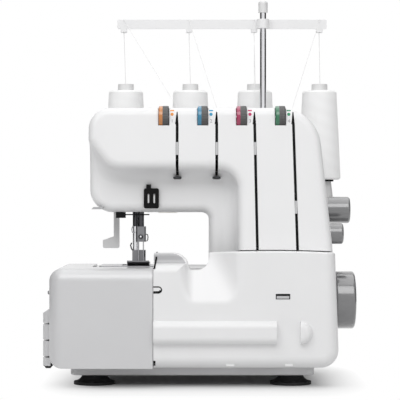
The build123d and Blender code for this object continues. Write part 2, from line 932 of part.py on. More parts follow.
# Free arm casing, open in front, below and towards the column
with BuildPart() as bed_casing:
    with BuildSketch(Plane.XY.offset(bed_bottom)):
        with Locations(((bed_left + throat_x) / 2, (bed_front + bed_back) / 2)):
            Rectangle(throat_x - bed_left, bed_back - bed_front)
    extrude(amount=bed_top - bed_bottom)
    fillet(bed_casing.edges().filter_by(Axis.Z).group_by(Axis.X)[0].sort_by(Axis.Y)[-1], bed_corner)
    span_box((bed_left + wall, far), (-far, bed_back - wall), (0, bed_top - wall), mode=Mode.SUBTRACT)
    span_box((feed_x - feed_pitch - feed_width, plate_right - wall), (needle_y - feed_width,
                                                                      feed_back + feed_width),
             (0, far), mode=Mode.SUBTRACT)
    span_box((plate_right - 2 * wall, upper_looper_x), (-far, knife_back + feed_width), (0, far),
             mode=Mode.SUBTRACT)
bed_casing.part.label = "bed_casing"
export_step(bed_casing.part, "parts/bed_casing.step")

# Needle plate with a slot for each feed dog and one for the needles
with BuildPart() as needle_plate:
    span_box((plate_left, plate_right), (plate_front, plate_back), (bed_top, bed_top + plate_thick))
    fillet(needle_plate.edges().filter_by(Axis.Z), 3)
    for step in (-1, 0, 1):
        dog_x = feed_x + step * feed_pitch
        span_box((dog_x - feed_width / 2 - cover_gap, dog_x + feed_width / 2 + cover_gap),
                 (feed_front - feed_travel - cover_gap, feed_back + feed_travel + cover_gap), (0, far),
                 mode=Mode.SUBTRACT)
    span_box((needle_x - needle_spacing, needle_x + needle_spacing), (needle_y - 2, needle_y + 2), (0, far),
             mode=Mode.SUBTRACT)
needle_plate.part.label = "needle_plate"
export_step(needle_plate.part, "parts/needle_plate.step")

# Feed dogs on their carrier and feed bar
with BuildPart() as feed_dogs:
    for step in (-1, 0, 1):
        dog_left = feed_x + step * feed_pitch - feed_width / 2
        with BuildSketch(Plane.YZ.offset(dog_left)):
            with BuildLine():
                Polyline(*feed_teeth(), close=True)
            make_face()
        extrude(amount=feed_width)
    span_box((feed_x - feed_pitch - feed_width / 2, feed_x + feed_pitch + feed_width / 2), (feed_front,
                                                                                            feed_back),
             (feed_base - feed_carrier, feed_base))
    span_box((feed_x - feed_bar / 2, feed_x + feed_bar / 2), (feed_front,
                                                              feed_guide_front + 2 * feed_guide_thick),
             (feed_base - feed_carrier - feed_bar, feed_base - feed_carrier))
feed_dogs.part.label = "feed_dogs"
export_step(feed_dogs.part, "parts/feed_dogs.step")

# Upper knife on its square bar
with BuildPart() as upper_knife:
    span_box((knife_x - knife_thick / 2, knife_x + knife_thick / 2), (knife_front, knife_back),
             (knife_seat, knife_top))
    chamfer(upper_knife.edges().filter_by(Axis.X).group_by(Axis.Z)[-1].sort_by(Axis.Y)[0], 2 * wall)
    span_box((knife_x - knife_thick / 2, knife_bar_x + knife_bar / 2), (knife_y - knife_bar / 2,
                                                                        knife_y + knife_bar / 2),
             (knife_seat, knife_seat + knife_bar))
    span_box((knife_bar_x - knife_bar / 2, knife_bar_x + knife_bar / 2), (knife_y - knife_bar / 2,
                                                                          knife_y + knife_bar / 2),
             (knife_guide_z - knife_travel - wall, knife_seat))
upper_knife.part.label = "upper_knife"
export_step(upper_knife.part, "parts/upper_knife.step")

# Lower knife fixed under the edge of the needle plate
with BuildPart() as lower_knife:
    span_box((knife_x - 1.5 * knife_thick - cover_gap, knife_x - knife_thick / 2 - cover_gap),
             (knife_front, knife_back),
             (knife_seat, bed_top))
lower_knife.part.label = "lower_knife"
export_step(lower_knife.part, "parts/lower_knife.step")

# Needle bar with the slotted block that the rocker moves
with BuildPart() as needle_bar:
    bar((needle_x, needle_y, clamp_bottom + clamp_height), (0, 0, 1), needle_bar_radius,
        needle_bar_top - clamp_bottom - clamp_height)
    span_box((needle_x - needle_bar_radius - block_lip, block_right),
             (needle_y - block_depth / 2, needle_y + block_depth / 2),
             (rocker_z - block_height / 2, rocker_z + block_height / 2))
    span_box((block_right - block_engage, block_right), (needle_y - pin_radius - running_gap,
                                                         needle_y + block_depth / 2),
             (rocker_z - pin_radius - running_gap, rocker_z + pin_radius + running_gap), mode=Mode.SUBTRACT)
needle_bar.part.label = "needle_bar"
export_step(needle_bar.part, "parts/needle_bar.step")

# Needle clamp with its screw
with BuildPart() as needle_clamp:
    span_box((needle_x - clamp_width / 2, needle_x + clamp_width / 2),
             (needle_y - clamp_depth / 2, needle_y + clamp_depth / 2), (clamp_bottom,
                                                                        clamp_bottom + clamp_height))
    chamfer(needle_clamp.edges().filter_by(Axis.Z), clamp_edge)
    bar((needle_x, needle_y - clamp_depth / 2, clamp_bottom + clamp_height / 3), (0, -1, 0),
        clamp_width / 4, clamp_screw)
needle_clamp.part.label = "needle_clamp"
export_step(needle_clamp.part, "parts/needle_clamp.step")

# Two needles with pointed ends
with BuildPart() as needles:
    for side in (-1, 1):
        at_x = needle_x + side * needle_spacing / 2
        with BuildSketch(Plane(origin=(at_x, needle_y, 0), x_dir=(1, 0, 0), z_dir=(0, -1, 0))):
            with BuildLine():
                Polyline((0, clamp_bottom), (needle_radius, clamp_bottom), (needle_radius,
                                                                            needle_tip + 6 * needle_radius),
                         (0, needle_tip), close=True)
            make_face()
        revolve(axis=Axis((at_x, needle_y, 0), (0, 0, 1)))
needles.part.label = "needles"
export_step(needles.part, "parts/needles.step")

# Presser bar with the bracket that the lifter raises
with BuildPart() as presser_bar:
    bar((presser_x, presser_y, ankle_top - ankle_seat), (0, 0, 1), presser_bar_radius,
        presser_bar_top - ankle_top + ankle_seat)
    bar((presser_x, presser_y, collar_bottom), (0, 0, 1), spring_radius + 1, collar_height)
    span_box((lifter_x - lifter_cam_x - wall, presser_x), (presser_y - presser_bar_radius, lifter_back + 1),
             (collar_bottom, collar_bottom + collar_height))
presser_bar.part.label = "presser_bar"
export_step(presser_bar.part, "parts/presser_bar.step")

# Spring that holds the presser foot down
with BuildPart() as presser_spring:
    with BuildSketch(Plane.XY.offset(collar_bottom + collar_height)):
        with Locations((presser_x, presser_y)):
            Circle(spring_radius)
            Circle(spring_radius - spring_wall, mode=Mode.SUBTRACT)
    extrude(amount=guide_high - collar_bottom - collar_height)
presser_spring.part.label = "presser_spring"
export_step(presser_spring.part, "parts/presser_spring.step")

# Presser foot with an upturned toe and a needle opening
with BuildPart() as presser_foot:
    sole_z = bed_top + plate_thick + running_gap
    with BuildSketch(Plane.YZ.offset(foot_middle - foot_width / 2)):
        with BuildLine():
            Polyline((foot_back, sole_z), (foot_front + toe_length, sole_z), (foot_front,
                                                                              sole_z + toe_rise),
                     (foot_front, sole_z + toe_rise + foot_sole / 2), (foot_front + toe_length,
                                                                       sole_z + foot_sole),
                     (foot_back, sole_z + foot_sole), close=True)
        make_face()
    extrude(amount=foot_width)
    span_box((foot_middle - ankle_width / 2, foot_middle + ankle_width / 2),
             (presser_y - ankle_depth / 2, presser_y + ankle_depth / 2), (sole_z + foot_sole, ankle_top))
    span_box((needle_x - needle_spacing, needle_x + needle_spacing),
             (needle_y - needle_slot, needle_y + needle_slot), (0, clamp_bottom), mode=Mode.SUBTRACT)
    bar((presser_x, presser_y, ankle_top - ankle_seat), (0, 0, 1), presser_bar_radius + slide_gap, far,
        mode=Mode.SUBTRACT)
presser_foot.part.label = "presser_foot"
export_step(presser_foot.part, "parts/presser_foot.step")

# Presser lifter with its hub, cam and toe
with BuildPart() as presser_lifter:
    with BuildSketch(front_plane(lifter_back)):
        with BuildLine():
            Polyline((lifter_x - lifter_stem / 2, lifter_z), (lifter_x - lifter_stem / 2, lifter_toe_top),
                     (lifter_toe_left, lifter_toe_top - toe_length / 2), (lifter_toe_left, lifter_bottom),
                     (lifter_x + lifter_stem / 2, lifter_bottom), (lifter_x + lifter_stem / 2, lifter_z),
                     close=True)
        make_face()
        with Locations((lifter_x, lifter_z)):
            Circle(lifter_hub)
        with BuildLine():
            Polyline((lifter_x, lifter_z), (lifter_x - lifter_cam_x - 1, lifter_z + wall),
                     (lifter_x - lifter_cam_x, cam_top), (lifter_x, cam_top - 2), close=True)
        make_face()
        with Locations((lifter_x, lifter_z)):
            Circle(lifter_pin + slide_gap, mode=Mode.SUBTRACT)
    extrude(amount=lifter_back - lifter_front)
    fillet(presser_lifter.edges().filter_by(Axis.Y).group_by(Axis.Z)[0], 2)
presser_lifter.part.label = "presser_lifter"
export_step(presser_lifter.part, "parts/presser_lifter.step")

# Frame casting: floor, two bearing walls, the arm beam, the bar guides, the looper plate and the hinge lugs
with BuildPart() as main_frame:
    floor_top = casing_bottom + frame_floor
    span_box((frame_left, left_wall_x), (frame_front, bed_back - 3 * wall), (casing_bottom, floor_top))
    span_box((left_wall_x, right_wall_x + frame_wall), (frame_front, frame_back), (casing_bottom,
                                                                                   floor_top))
    with BuildSketch(Plane.YZ.offset(left_wall_x)):
        with BuildLine():
            FilletPolyline((frame_back, floor_top), (frame_back, shaft_z), (beam_back, arm_bottom),
                           (beam_back, frame_top),
                           (rocker_y - bush_radius * 2, frame_top), (rocker_y - bush_radius * 2,
                                                                     arm_bottom),
                           (wall_front, shaft_z), (wall_front, floor_top),
                           radius=(0, wall_round, wall_round, bush_radius, bush_radius, wall_round,
                                   wall_round, 0),
                           close=True)
        make_face()
    extrude(amount=frame_wall)
    with BuildSketch(Plane.YZ.offset(right_wall_x)):
        with BuildLine():
            FilletPolyline((frame_back, floor_top), (frame_back, right_wall_top), (wall_front,
                                                                                   right_wall_top),
                           (wall_front, floor_top), radius=(0, wall_round, wall_round, 0), close=True)
        make_face()
    extrude(amount=frame_wall)
    span_box((beam_left, left_wall_x), (beam_front, beam_back), (beam_bottom, frame_top))
    for guide_z in (guide_low, guide_high):
        span_box((guide_left, guide_right), (guide_front, beam_front), (guide_z, guide_z + guide_height))
    with BuildSketch(Plane.YZ.offset(rocker_bearing_x)):
        with Locations((rocker_y, rocker_z)):
            Circle(rocker_radius + rocker_bearing_wall)
        with Locations(((rocker_y + beam_front) / 2, rocker_z)):
            Rectangle(beam_front - rocker_y, 2 * (rocker_radius + rocker_bearing_wall))
    extrude(amount=rocker_bearing)
    span_box((looper_plate_left, throat_x), (looper_plate_back - looper_plate, looper_plate_back),
             (floor_top, looper_plate_top))
    bar((lower_looper_x, looper_plate_back, lower_looper_z), (0, -1, 0), looper_pin,
        looper_plate_back - lower_looper_y + looper_thick + wall)
    bar((upper_looper_x, looper_plate_back, upper_looper_z), (0, -1, 0), looper_pin,
        looper_plate_back - upper_looper_y + looper_thick + wall)
    span_box((knife_bar_x - knife_bar, knife_bar_x + knife_bar), (knife_y - knife_bar, looper_plate_back),
             (knife_guide_z, knife_guide_z + knife_guide_height))
    span_box((knife_bar_x - knife_bar / 2 - slide_gap, knife_bar_x + knife_bar / 2 + slide_gap),
             (knife_y - knife_bar / 2 - slide_gap, knife_y + knife_bar / 2 + slide_gap), (floor_top,
                                                                                          far),
                                                                                          mode=Mode.SUBTRACT)
    span_box((feed_x - feed_bar * 1.5, feed_x + feed_bar * 1.5), (feed_guide_front,
                                                                  feed_guide_front + feed_guide_thick),
             (floor_top, feed_base - feed_carrier + feed_bar))
    span_box((feed_x - feed_bar / 2 - slide_gap, feed_x + feed_bar / 2 + slide_gap), (feed_guide_front,
                                                                                      beam_back),
             (feed_base - feed_carrier - feed_bar - slide_gap, feed_base - feed_carrier + slide_gap),
             mode=Mode.SUBTRACT)
    for lug_x in (hinge_left, hinge_right):
        with BuildSketch(Plane.YZ.offset(lug_x)):
            with Locations((hinge_y, hinge_z)):
                Circle(hinge_lug)
            with BuildLine():
                Polyline((hinge_y, hinge_z), (hinge_y, hinge_z + hinge_lug), (frame_front + wall_round,
                                                                              hinge_z + hinge_lug),
                         (frame_front + wall_round, casing_bottom), (frame_front, casing_bottom),
                         (frame_front, hinge_z),
                         close=True)
            make_face()
        extrude(amount=lug_width)
    bar((lifter_x, beam_front, lifter_z), (0, -1, 0), lifter_pin, beam_front - lifter_front + wall)
    bar((needle_x, needle_y, beam_bottom), (0, 0, 1), needle_bar_radius + slide_gap, far,
        mode=Mode.SUBTRACT)
    bar((presser_x, presser_y, beam_bottom), (0, 0, 1), presser_bar_radius + slide_gap, far,
        mode=Mode.SUBTRACT)
    bar((rocker_bearing_x, rocker_y, rocker_z), (1, 0, 0), rocker_radius + slide_gap, far,
        mode=Mode.SUBTRACT)
    bar((left_wall_x, shaft_y, shaft_z), (1, 0, 0), bush_radius + slide_gap, far, mode=Mode.SUBTRACT)
    bar((right_wall_x, motor_y, motor_z), (1, 0, 0), motor_shaft + shaft_clearance, far, mode=Mode.SUBTRACT)
    bar((hinge_left, hinge_y, hinge_z), (1, 0, 0), hinge_radius + slide_gap, far, mode=Mode.SUBTRACT)
main_frame.part.label = "main_frame"
export_step(main_frame.part, "parts/main_frame.step")

# Bushes of the main shaft
with BuildPart() as shaft_bushes:
    for bush_x in (left_wall_x, right_wall_x):
        bar((bush_x, shaft_y, shaft_z), (1, 0, 0), bush_radius, frame_wall)
    bar((left_wall_x, shaft_y, shaft_z), (1, 0, 0), shaft_radius + slide_gap, far, mode=Mode.SUBTRACT)
shaft_bushes.part.label = "shaft_bushes"
export_step(shaft_bushes.part, "parts/shaft_bushes.step")

# Main shaft with the needle eccentric forged on it, and the driven pulley
with BuildPart() as main_shaft:
    bar((shaft_left, shaft_y, shaft_z), (1, 0, 0), shaft_radius,
        wheel_right - wheel_dome - wall - shaft_left)
    bar((rod_left, shaft_y + eccentric_throw, shaft_z), (1, 0, 0), eccentric_radius, rod_thick)
main_shaft.part.label = "main_shaft"
export_step(main_shaft.part, "parts/main_shaft.step")

with BuildPart() as shaft_pulley:
    bar((pulley_x, shaft_y, shaft_z), (1, 0, 0), shaft_pulley_radius, pulley_width)
    bar((pulley_x, shaft_y, shaft_z), (1, 0, 0), shaft_radius + slide_gap, pulley_width, mode=Mode.SUBTRACT)
    with BuildSketch(Plane.YZ.offset(pulley_x)):
        with Locations((shaft_y, shaft_z)):
            with PolarLocations((shaft_radius + shaft_pulley_radius) / 2, 5):
                Circle((shaft_pulley_radius - shaft_radius) / 4)
    extrude(amount=pulley_width, mode=Mode.SUBTRACT)
shaft_pulley.part.label = "shaft_pulley"
export_step(shaft_pulley.part, "parts/shaft_pulley.step")

# Handwheel turned to a rounded rim and a gently domed face
with BuildPart() as handwheel:
    with BuildSketch(Plane(origin=(0, shaft_y, shaft_z), x_dir=(1, 0, 0), z_dir=(0, -1, 0))) as wheel_half:
        with BuildLine():
            Polyline((wheel_right, wheel_hub), (wheel_right, 0), (wheel_left, 0), (wheel_left,
                                                                                   wheel_radius),
                     (wheel_right - wheel_dome, wheel_radius))
            ThreePointArc((wheel_right - wheel_dome, wheel_radius), (wheel_right - wheel_dome / 4,
                                                                     wheel_radius / 2),
                          (wheel_right, wheel_hub))
        make_face()
        fillet(wheel_half.vertices().group_by(Axis.Y)[-1], wheel_dome)
    revolve(axis=Axis((0, shaft_y, shaft_z), (1, 0, 0)))
    bar((wheel_left, shaft_y, shaft_z), (1, 0, 0), shaft_radius + slide_gap,
        wheel_right - wheel_dome - wall - wheel_left,
        mode=Mode.SUBTRACT)
handwheel.part.label = "handwheel"
export_step(handwheel.part, "parts/handwheel.step")

# Motor, its cradle, the small pulley and the belt
with BuildPart() as motor:
    bar((motor_left, motor_y, motor_z), (1, 0, 0), motor_radius, motor_right - motor_left)
    fillet(motor.edges().filter_by(GeomType.CIRCLE), motor_shaft)
    bar((motor_right, motor_y, motor_z), (-1, 0, 0), motor_shaft + slide_gap, motor_radius,
        mode=Mode.SUBTRACT)
motor.part.label = "motor"
export_step(motor.part, "parts/motor.step")

with BuildPart() as motor_cradle:
    with BuildSketch(Plane.YZ.offset(motor_left + motor_radius / 2)):
        with Locations((motor_y, casing_bottom + frame_floor)):
            Rectangle(2 * motor_radius, motor_z - casing_bottom - frame_floor, align=(Align.CENTER,
                                                                                      Align.MIN))
        with Locations((motor_y, motor_z)):
            Circle(motor_radius + slide_gap, mode=Mode.SUBTRACT)
    extrude(amount=motor_right - motor_left - motor_radius)
motor_cradle.part.label = "motor_cradle"
export_step(motor_cradle.part, "parts/motor_cradle.step")

with BuildPart() as motor_pulley:
    bar((motor_right - motor_radius / 2, motor_y, motor_z), (1, 0, 0), motor_shaft,
        pulley_x - motor_right + motor_radius / 2)
    bar((pulley_x, motor_y, motor_z), (1, 0, 0), motor_pulley_radius, pulley_width)
motor_pulley.part.label = "motor_pulley"
export_step(motor_pulley.part, "parts/motor_pulley.step")

with BuildPart() as drive_belt:
    with BuildSketch(Plane.YZ.offset(pulley_x)):
        add(belt_outline(running_gap + belt_thick))
        add(belt_outline(running_gap), mode=Mode.SUBTRACT)
    extrude(amount=pulley_width)
drive_belt.part.label = "drive_belt"
export_step(drive_belt.part, "parts/drive_belt.step")

# Rocker shaft with the needle lever and the crank lever
with BuildPart() as rocker_shaft:
    bar((rocker_lever_x, rocker_y, rocker_z), (1, 0, 0), rocker_radius,
        crank_x + lever_thick - rocker_lever_x)
    with BuildSketch(Plane.YZ.offset(rocker_lever_x)):
        add(lever_outline(needle_y))
    extrude(amount=lever_thick)
    with BuildSketch(Plane.YZ.offset(crank_x)):
        add(lever_outline(rocker_y - crank_lever))
    extrude(amount=lever_thick)
    bar((rocker_lever_x, needle_y, rocker_z), (-1, 0, 0), pin_radius, seam_gap + block_engage - running_gap)
    bar((crank_x, rocker_y - crank_lever, rocker_z), (1, 0, 0), pin_radius,
        lever_thick + seam_gap + rod_thick)
rocker_shaft.part.label = "rocker_shaft"
export_step(rocker_shaft.part, "parts/rocker_shaft.step")

# Connecting rod from the eccentric to the crank lever, with play in its lower eye
with BuildPart() as connecting_rod:
    with BuildSketch(Plane.YZ.offset(rod_left)):
        with BuildLine():
            Polyline((rocker_y - crank_lever - rod_width / 2, rocker_z),
                     (rocker_y - crank_lever + rod_width / 2, rocker_z),
                     (shaft_y + rod_width / 2, shaft_z), (shaft_y - rod_width / 2, shaft_z), close=True)
        make_face()
        with Locations((rocker_y - crank_lever, rocker_z)):
            Circle(rod_width / 2 + 1)
        with Locations((shaft_y, shaft_z)):
            SlotOverall(2 * (eye_high + rod_rim), 2 * (eye_wide + rod_rim), rotation=90)
            SlotOverall(2 * eye_high, 2 * eye_wide, rotation=90, mode=Mode.SUBTRACT)
        with Locations((rocker_y - crank_lever, rocker_z)):
            Circle(pin_radius + slide_gap, mode=Mode.SUBTRACT)
    extrude(amount=rod_thick)
connecting_rod.part.label = "connecting_rod"
export_step(connecting_rod.part, "parts/connecting_rod.step")

# Loopers, each a hub, an arm and a hooked blade
with BuildPart() as lower_looper:
    with BuildSketch(front_plane(lower_looper_y)):
        with BuildLine():
            Polyline(*[(lower_looper_x + x, lower_looper_z + z) for x, z in lower_looper_arm], close=True)
        make_face()
        with Locations((lower_looper_x, lower_looper_z)):
            Circle(looper_hub)
            Circle(looper_pin + slide_gap, mode=Mode.SUBTRACT)
    extrude(amount=looper_thick)
lower_looper.part.label = "lower_looper"
export_step(lower_looper.part, "parts/lower_looper.step")

with BuildPart() as upper_looper:
    with BuildSketch(front_plane(upper_looper_y)):
        with BuildLine():
            Polyline(*[(upper_looper_x + x, upper_looper_z + z) for x, z in upper_looper_arm], close=True)
        make_face()
        with Locations((upper_looper_x, upper_looper_z)):
            Circle(looper_hub)
            Circle(looper_pin + slide_gap, mode=Mode.SUBTRACT)
    extrude(amount=looper_thick)
upper_looper.part.label = "upper_looper"
export_step(upper_looper.part, "parts/upper_looper.step")

# Tension dials and the brackets with the pins that they turn on
for number, dial_x in enumerate(dial_places, start=1):
    with BuildPart() as tension_dial:
        bar((dial_x - dial_width / 2, dial_y, dial_z), (1, 0, 0), dial_radius, dial_width)
        chamfer(tension_dial.edges().filter_by(GeomType.CIRCLE), dial_gap)
        bar((dial_x - dial_width / 2, dial_y, dial_z), (1, 0, 0), dial_pin + slide_gap, dial_width,
            mode=Mode.SUBTRACT)
    tension_dial.part.label = f"tension_dial_{number}"
    export_step(tension_dial.part, f"parts/tension_dial_{number}.step")

with BuildPart() as tension_brackets:
    for dial_x in dial_places:
        for side in (-1, 1):
            cheek = dial_x + side * (dial_width / 2 + running_gap + bracket_sheet / 2)
            with BuildSketch(Plane.YZ.offset(cheek - bracket_sheet / 2)):
                with BuildLine():
                    Polyline((bracket_front, bracket_bottom), (bracket_back, bracket_bottom),
                             (bracket_back, arm_top - wall),
                             (bracket_shoulder, arm_top - wall), (bracket_front, dial_z + 2 * dial_pin),
                             close=True)
                make_face()
            extrude(amount=bracket_sheet)
        span_box((dial_x - dial_width / 2 - running_gap, dial_x + dial_width / 2 + running_gap),
                 (bracket_back - bracket_sheet, bracket_back), (bracket_bottom, arm_top - wall))
        bar((dial_x - dial_width / 2 - running_gap, dial_y, dial_z), (1, 0, 0), dial_pin,
            dial_width + 2 * running_gap)
        bar((dial_x - dial_width / 2 - running_gap, dial_y, dial_z), (1, 0, 0), dial_radius + running_gap,
            dial_width + 2 * running_gap, mode=Mode.SUBTRACT)
        bar((dial_x - dial_width / 2 - running_gap, dial_y, dial_z), (1, 0, 0), dial_pin,
            dial_width + 2 * running_gap)
    add(casing_inner, mode=Mode.INTERSECT)
tension_brackets.part.label = "tension_brackets"
export_step(tension_brackets.part, "parts/tension_brackets.step")

# Dark liners behind the thread slots and the pale tension discs in them
with BuildPart() as slot_liners:
    with BuildSketch(FRONT.offset(-wall)):
        for top_x, lean in zip(slot_tops, slot_leans):
            low = slot_end(top_x) + slot_overrun + (front_round if top_x < recess_right else 0) + wall
            with Locations((top_x + lean / 2, (front_rise(liner_top) + front_rise(low)) / 2)):
                Rectangle(liner_width + lean, front_rise(liner_top) - front_rise(low))
    extrude(amount=-liner_thick)
slot_liners.part.label = "slot_liners"
export_step(slot_liners.part, "parts/slot_liners.step")

with BuildPart() as tension_discs:
    with BuildSketch(FRONT.offset(-wall)):
        for top_x, lean, disc_z in zip(slot_tops, slot_leans, disc_tops):
            middle = disc_z - disc_height / 2
            shift = lean * (slot_top_z - middle) / (slot_top_z - slot_end(top_x))
            with Locations((top_x + shift, front_rise(middle))):
                Rectangle(slot_width - 2 * running_gap, disc_height)
    extrude(amount=wall - running_gap)
tension_discs.part.label = "tension_discs"
export_step(tension_discs.part, "parts/tension_discs.step")

# Wire eyelets under the two needle thread slots
with BuildPart() as thread_eyelets:
    for top_x in slot_tops[:2]:
        with Locations((top_x, eyelet_y, eyelet_z)):
            Torus(eyelet_ring, eyelet_wire)
thread_eyelets.part.label = "thread_eyelets"
export_step(thread_eyelets.part, "parts/thread_eyelets.step")

# Slotted thread guide on the recess floor
with BuildPart() as thread_guide_window:
    with BuildSketch(front_plane(recess_y)):
        with Locations(((window_left + window_right) / 2, (window_bottom + window_top) / 2)):
            RectangleRounded(window_right - window_left, window_top - window_bottom, 2)
            with GridLocations(window_slot_pitch, 1, 2, 1):
                SlotOverall((window_top - window_bottom) / 2, window_slot, rotation=90, mode=Mode.SUBTRACT)
        with Locations((window_left + window_stem, (window_top + window_stem_top) / 2)):
            Rectangle(window_stem, window_stem_top - window_top + 1)
    extrude(amount=window_thick)
thread_guide_window.part.label = "thread_guide_window"
export_step(thread_guide_window.part, "parts/thread_guide_window.step")

# Wire thread guide on its block under the arm, and the lamp
with BuildPart() as wire_guide:
    span_box((wire_block_left, wire_block_right), (wire_block_front, wire_block_front + wire_block_depth),
             (arm_bottom - wire_block_height, arm_bottom))
    bar((wire_block_right, wire_block_front + 2 * wire_radius, arm_bottom - wall), (1, 0, 0), wire_radius,
        wire_right - wire_block_right)
wire_guide.part.label = "wire_guide"
export_step(wire_guide.part, "parts/wire_guide.step")

with BuildPart() as lamp:
    with BuildSketch(Plane.XY.offset(arm_bottom - lamp_proud)):
        with Locations((lamp_x, lamp_y)):
            RectangleRounded(lamp_width, lamp_depth, lamp_depth / 3)
    extrude(amount=lamp_height)
lamp.part.label = "lamp"
export_step(lamp.part, "parts/lamp.step")

# Stitch length and differential feed dials on the right flank
with BuildPart() as length_dial:
    bar((length_dial_left, length_dial_y, length_dial_z), (1, 0, 0), length_dial_radius,
        length_dial_right - length_dial_left)
    fillet(length_dial.faces().sort_by(Axis.X)[-1].edges(), dial_edge)
    bar((length_dial_left, length_dial_y, length_dial_z), (-1, 0, 0), dial_shaft, dial_reach)
length_dial.part.label = "length_dial"
export_step(length_dial.part, "parts/length_dial.step")

with BuildPart() as feed_dial:
    bar((feed_dial_left, feed_dial_y, feed_dial_z), (1, 0, 0), feed_dial_radius,
        feed_dial_right - feed_dial_left)
    fillet(feed_dial.faces().sort_by(Axis.X)[-1].edges(), dial_edge)
    bar((feed_dial_left, feed_dial_y, feed_dial_z), (-1, 0, 0), dial_shaft, dial_reach)
feed_dial.part.label = "feed_dial"
export_step(feed_dial.part, "parts/feed_dial.step")

# Mains inlet and the rocker switch beside it
with BuildPart() as power_inlet:
    with BuildSketch(FLANK):
        with Locations((inlet_y, inlet_rise)):
            RectangleRounded(inlet_width + 2 * flange_lip, inlet_height + 2 * flange_lip, flange_lip)
    extrude(amount=flange_thick)
    with BuildSketch(FLANK):
        with Locations((inlet_y, inlet_rise)):
            Rectangle(inlet_width - running_gap, inlet_height - running_gap)
    extrude(amount=-socket_depth)
    with BuildSketch(FLANK.offset(flange_thick)):
        with Locations((inlet_y, inlet_rise)):
            SlotOverall(inlet_width - 3 * flange_lip, inlet_height - 3 * flange_lip)
            with GridLocations(inlet_width / 3, 1, 2, 1):
                Circle(flange_lip * 0.6, mode=Mode.SUBTRACT)
    extrude(amount=-socket_depth, mode=Mode.SUBTRACT)
power_inlet.part.label = "power_inlet"
export_step(power_inlet.part, "parts/power_inlet.step")

with BuildPart() as switch_frame:
    with BuildSketch(FLANK):
        with Locations((switch_y, inlet_rise)):
            RectangleRounded(switch_width + 2 * flange_lip, inlet_height + 2 * flange_lip, flange_lip)
    extrude(amount=flange_thick)
    with BuildSketch(FLANK):
        with Locations((switch_y, inlet_rise)):
            Rectangle(switch_width - running_gap, inlet_height - running_gap)
    extrude(amount=-socket_depth)
    with BuildSketch(FLANK.offset(flange_thick)):
        with Locations((switch_y, inlet_rise)):
            Rectangle(switch_width - 2 * flange_lip, 2 * (rocker_key_radius + running_gap))
    extrude(amount=-socket_depth, mode=Mode.SUBTRACT)
    with Locations(switch_axis):
        Cylinder(dial_pin / 2 + slide_gap, switch_width - flange_lip, mode=Mode.SUBTRACT)
switch_frame.part.label = "switch_frame"
export_step(switch_frame.part, "parts/switch_frame.step")

with BuildPart() as power_switch:
    with Locations(switch_axis):
        Cylinder(rocker_key_radius, switch_width - 2 * flange_lip - 2 * running_gap)
        Cylinder(dial_pin / 2, switch_width - flange_lip - 2 * running_gap)
power_switch.part.label = "power_switch"
export_step(power_switch.part, "parts/power_switch.step")

# Thread stand behind the machine, hollow below
with BuildPart() as thread_stand:
    with BuildSketch(Plane.XY.offset(stand_bottom)):
        with Locations(((stand_left + stand_right) / 2, (body_back + stand_back) / 2)):
            RectangleRounded(stand_right - stand_left, stand_back - body_back, stand_corner)
    extrude(amount=stand_top - stand_bottom)
    fillet(thread_stand.faces().sort_by(Axis.Z)[-1].edges(), stand_wall / 2)
    with BuildSketch(Plane.XY.offset(stand_bottom)):
        with Locations(((stand_left + stand_right) / 2, (body_back + stand_back) / 2)):
            RectangleRounded(stand_right - stand_left - 2 * stand_wall,
                             stand_back - body_back - 2 * stand_wall,
                             stand_corner - stand_wall)
    extrude(amount=stand_top - stand_bottom - stand_wall, mode=Mode.SUBTRACT)
    bar((antenna_x, antenna_y, stand_bottom), (0, 0, 1), antenna_tube + stand_wall,
        stand_top - stand_bottom)
    bar((antenna_x, antenna_y, stand_bottom), (0, 0, 1), antenna_tube + slide_gap, far, mode=Mode.SUBTRACT)
thread_stand.part.label = "thread_stand"
export_step(thread_stand.part, "parts/thread_stand.step")

# Cone holders with their spool pins, and the pads under the cones
with BuildPart() as cone_holders:
    for cone_x in cone_places:
        with BuildSketch(Plane(origin=(cone_x, cone_y, stand_top), x_dir=(1, 0, 0), z_dir=(0, -1, 0))):
            with BuildLine():
                Polyline((0, 0), (holder_radius, 0), (holder_radius * 0.85, holder_height), (spool_pin,
                                                                                             holder_height),
                         (spool_pin, pin_top - stand_top), (0, pin_top - stand_top), close=True)
            make_face()
        revolve(axis=Axis((cone_x, cone_y, 0), (0, 0, 1)))
cone_holders.part.label = "cone_holders"
export_step(cone_holders.part, "parts/cone_holders.step")

with BuildPart() as cone_pads:
    with BuildSketch(Plane.XY.offset(pad_bottom)):
        for cone_x in cone_places:
            with Locations((cone_x, cone_y)):
                Circle(pad_radius)
                Circle(spool_pin + slide_gap, mode=Mode.SUBTRACT)
    extrude(amount=pad_thick)
cone_pads.part.label = "cone_pads"
export_step(cone_pads.part, "parts/cone_pads.step")

# Paper cores and the thread wound on them
with BuildPart() as cone_cores:
    for cone_x in cone_places:
        with BuildSketch(Plane(origin=(cone_x, cone_y, cone_bottom), x_dir=(1, 0, 0), z_dir=(0, -1, 0))):
            with BuildLine():
                Polyline((core_low - core_wall, 0), (core_low, 0), (core_high, core_top - cone_bottom),
                         (core_high - core_wall, core_top - cone_bottom), close=True)
            make_face()
        revolve(axis=Axis((cone_x, cone_y, 0), (0, 0, 1)))
cone_cores.part.label = "cone_cores"
export_step(cone_cores.part, "parts/cone_cores.step")

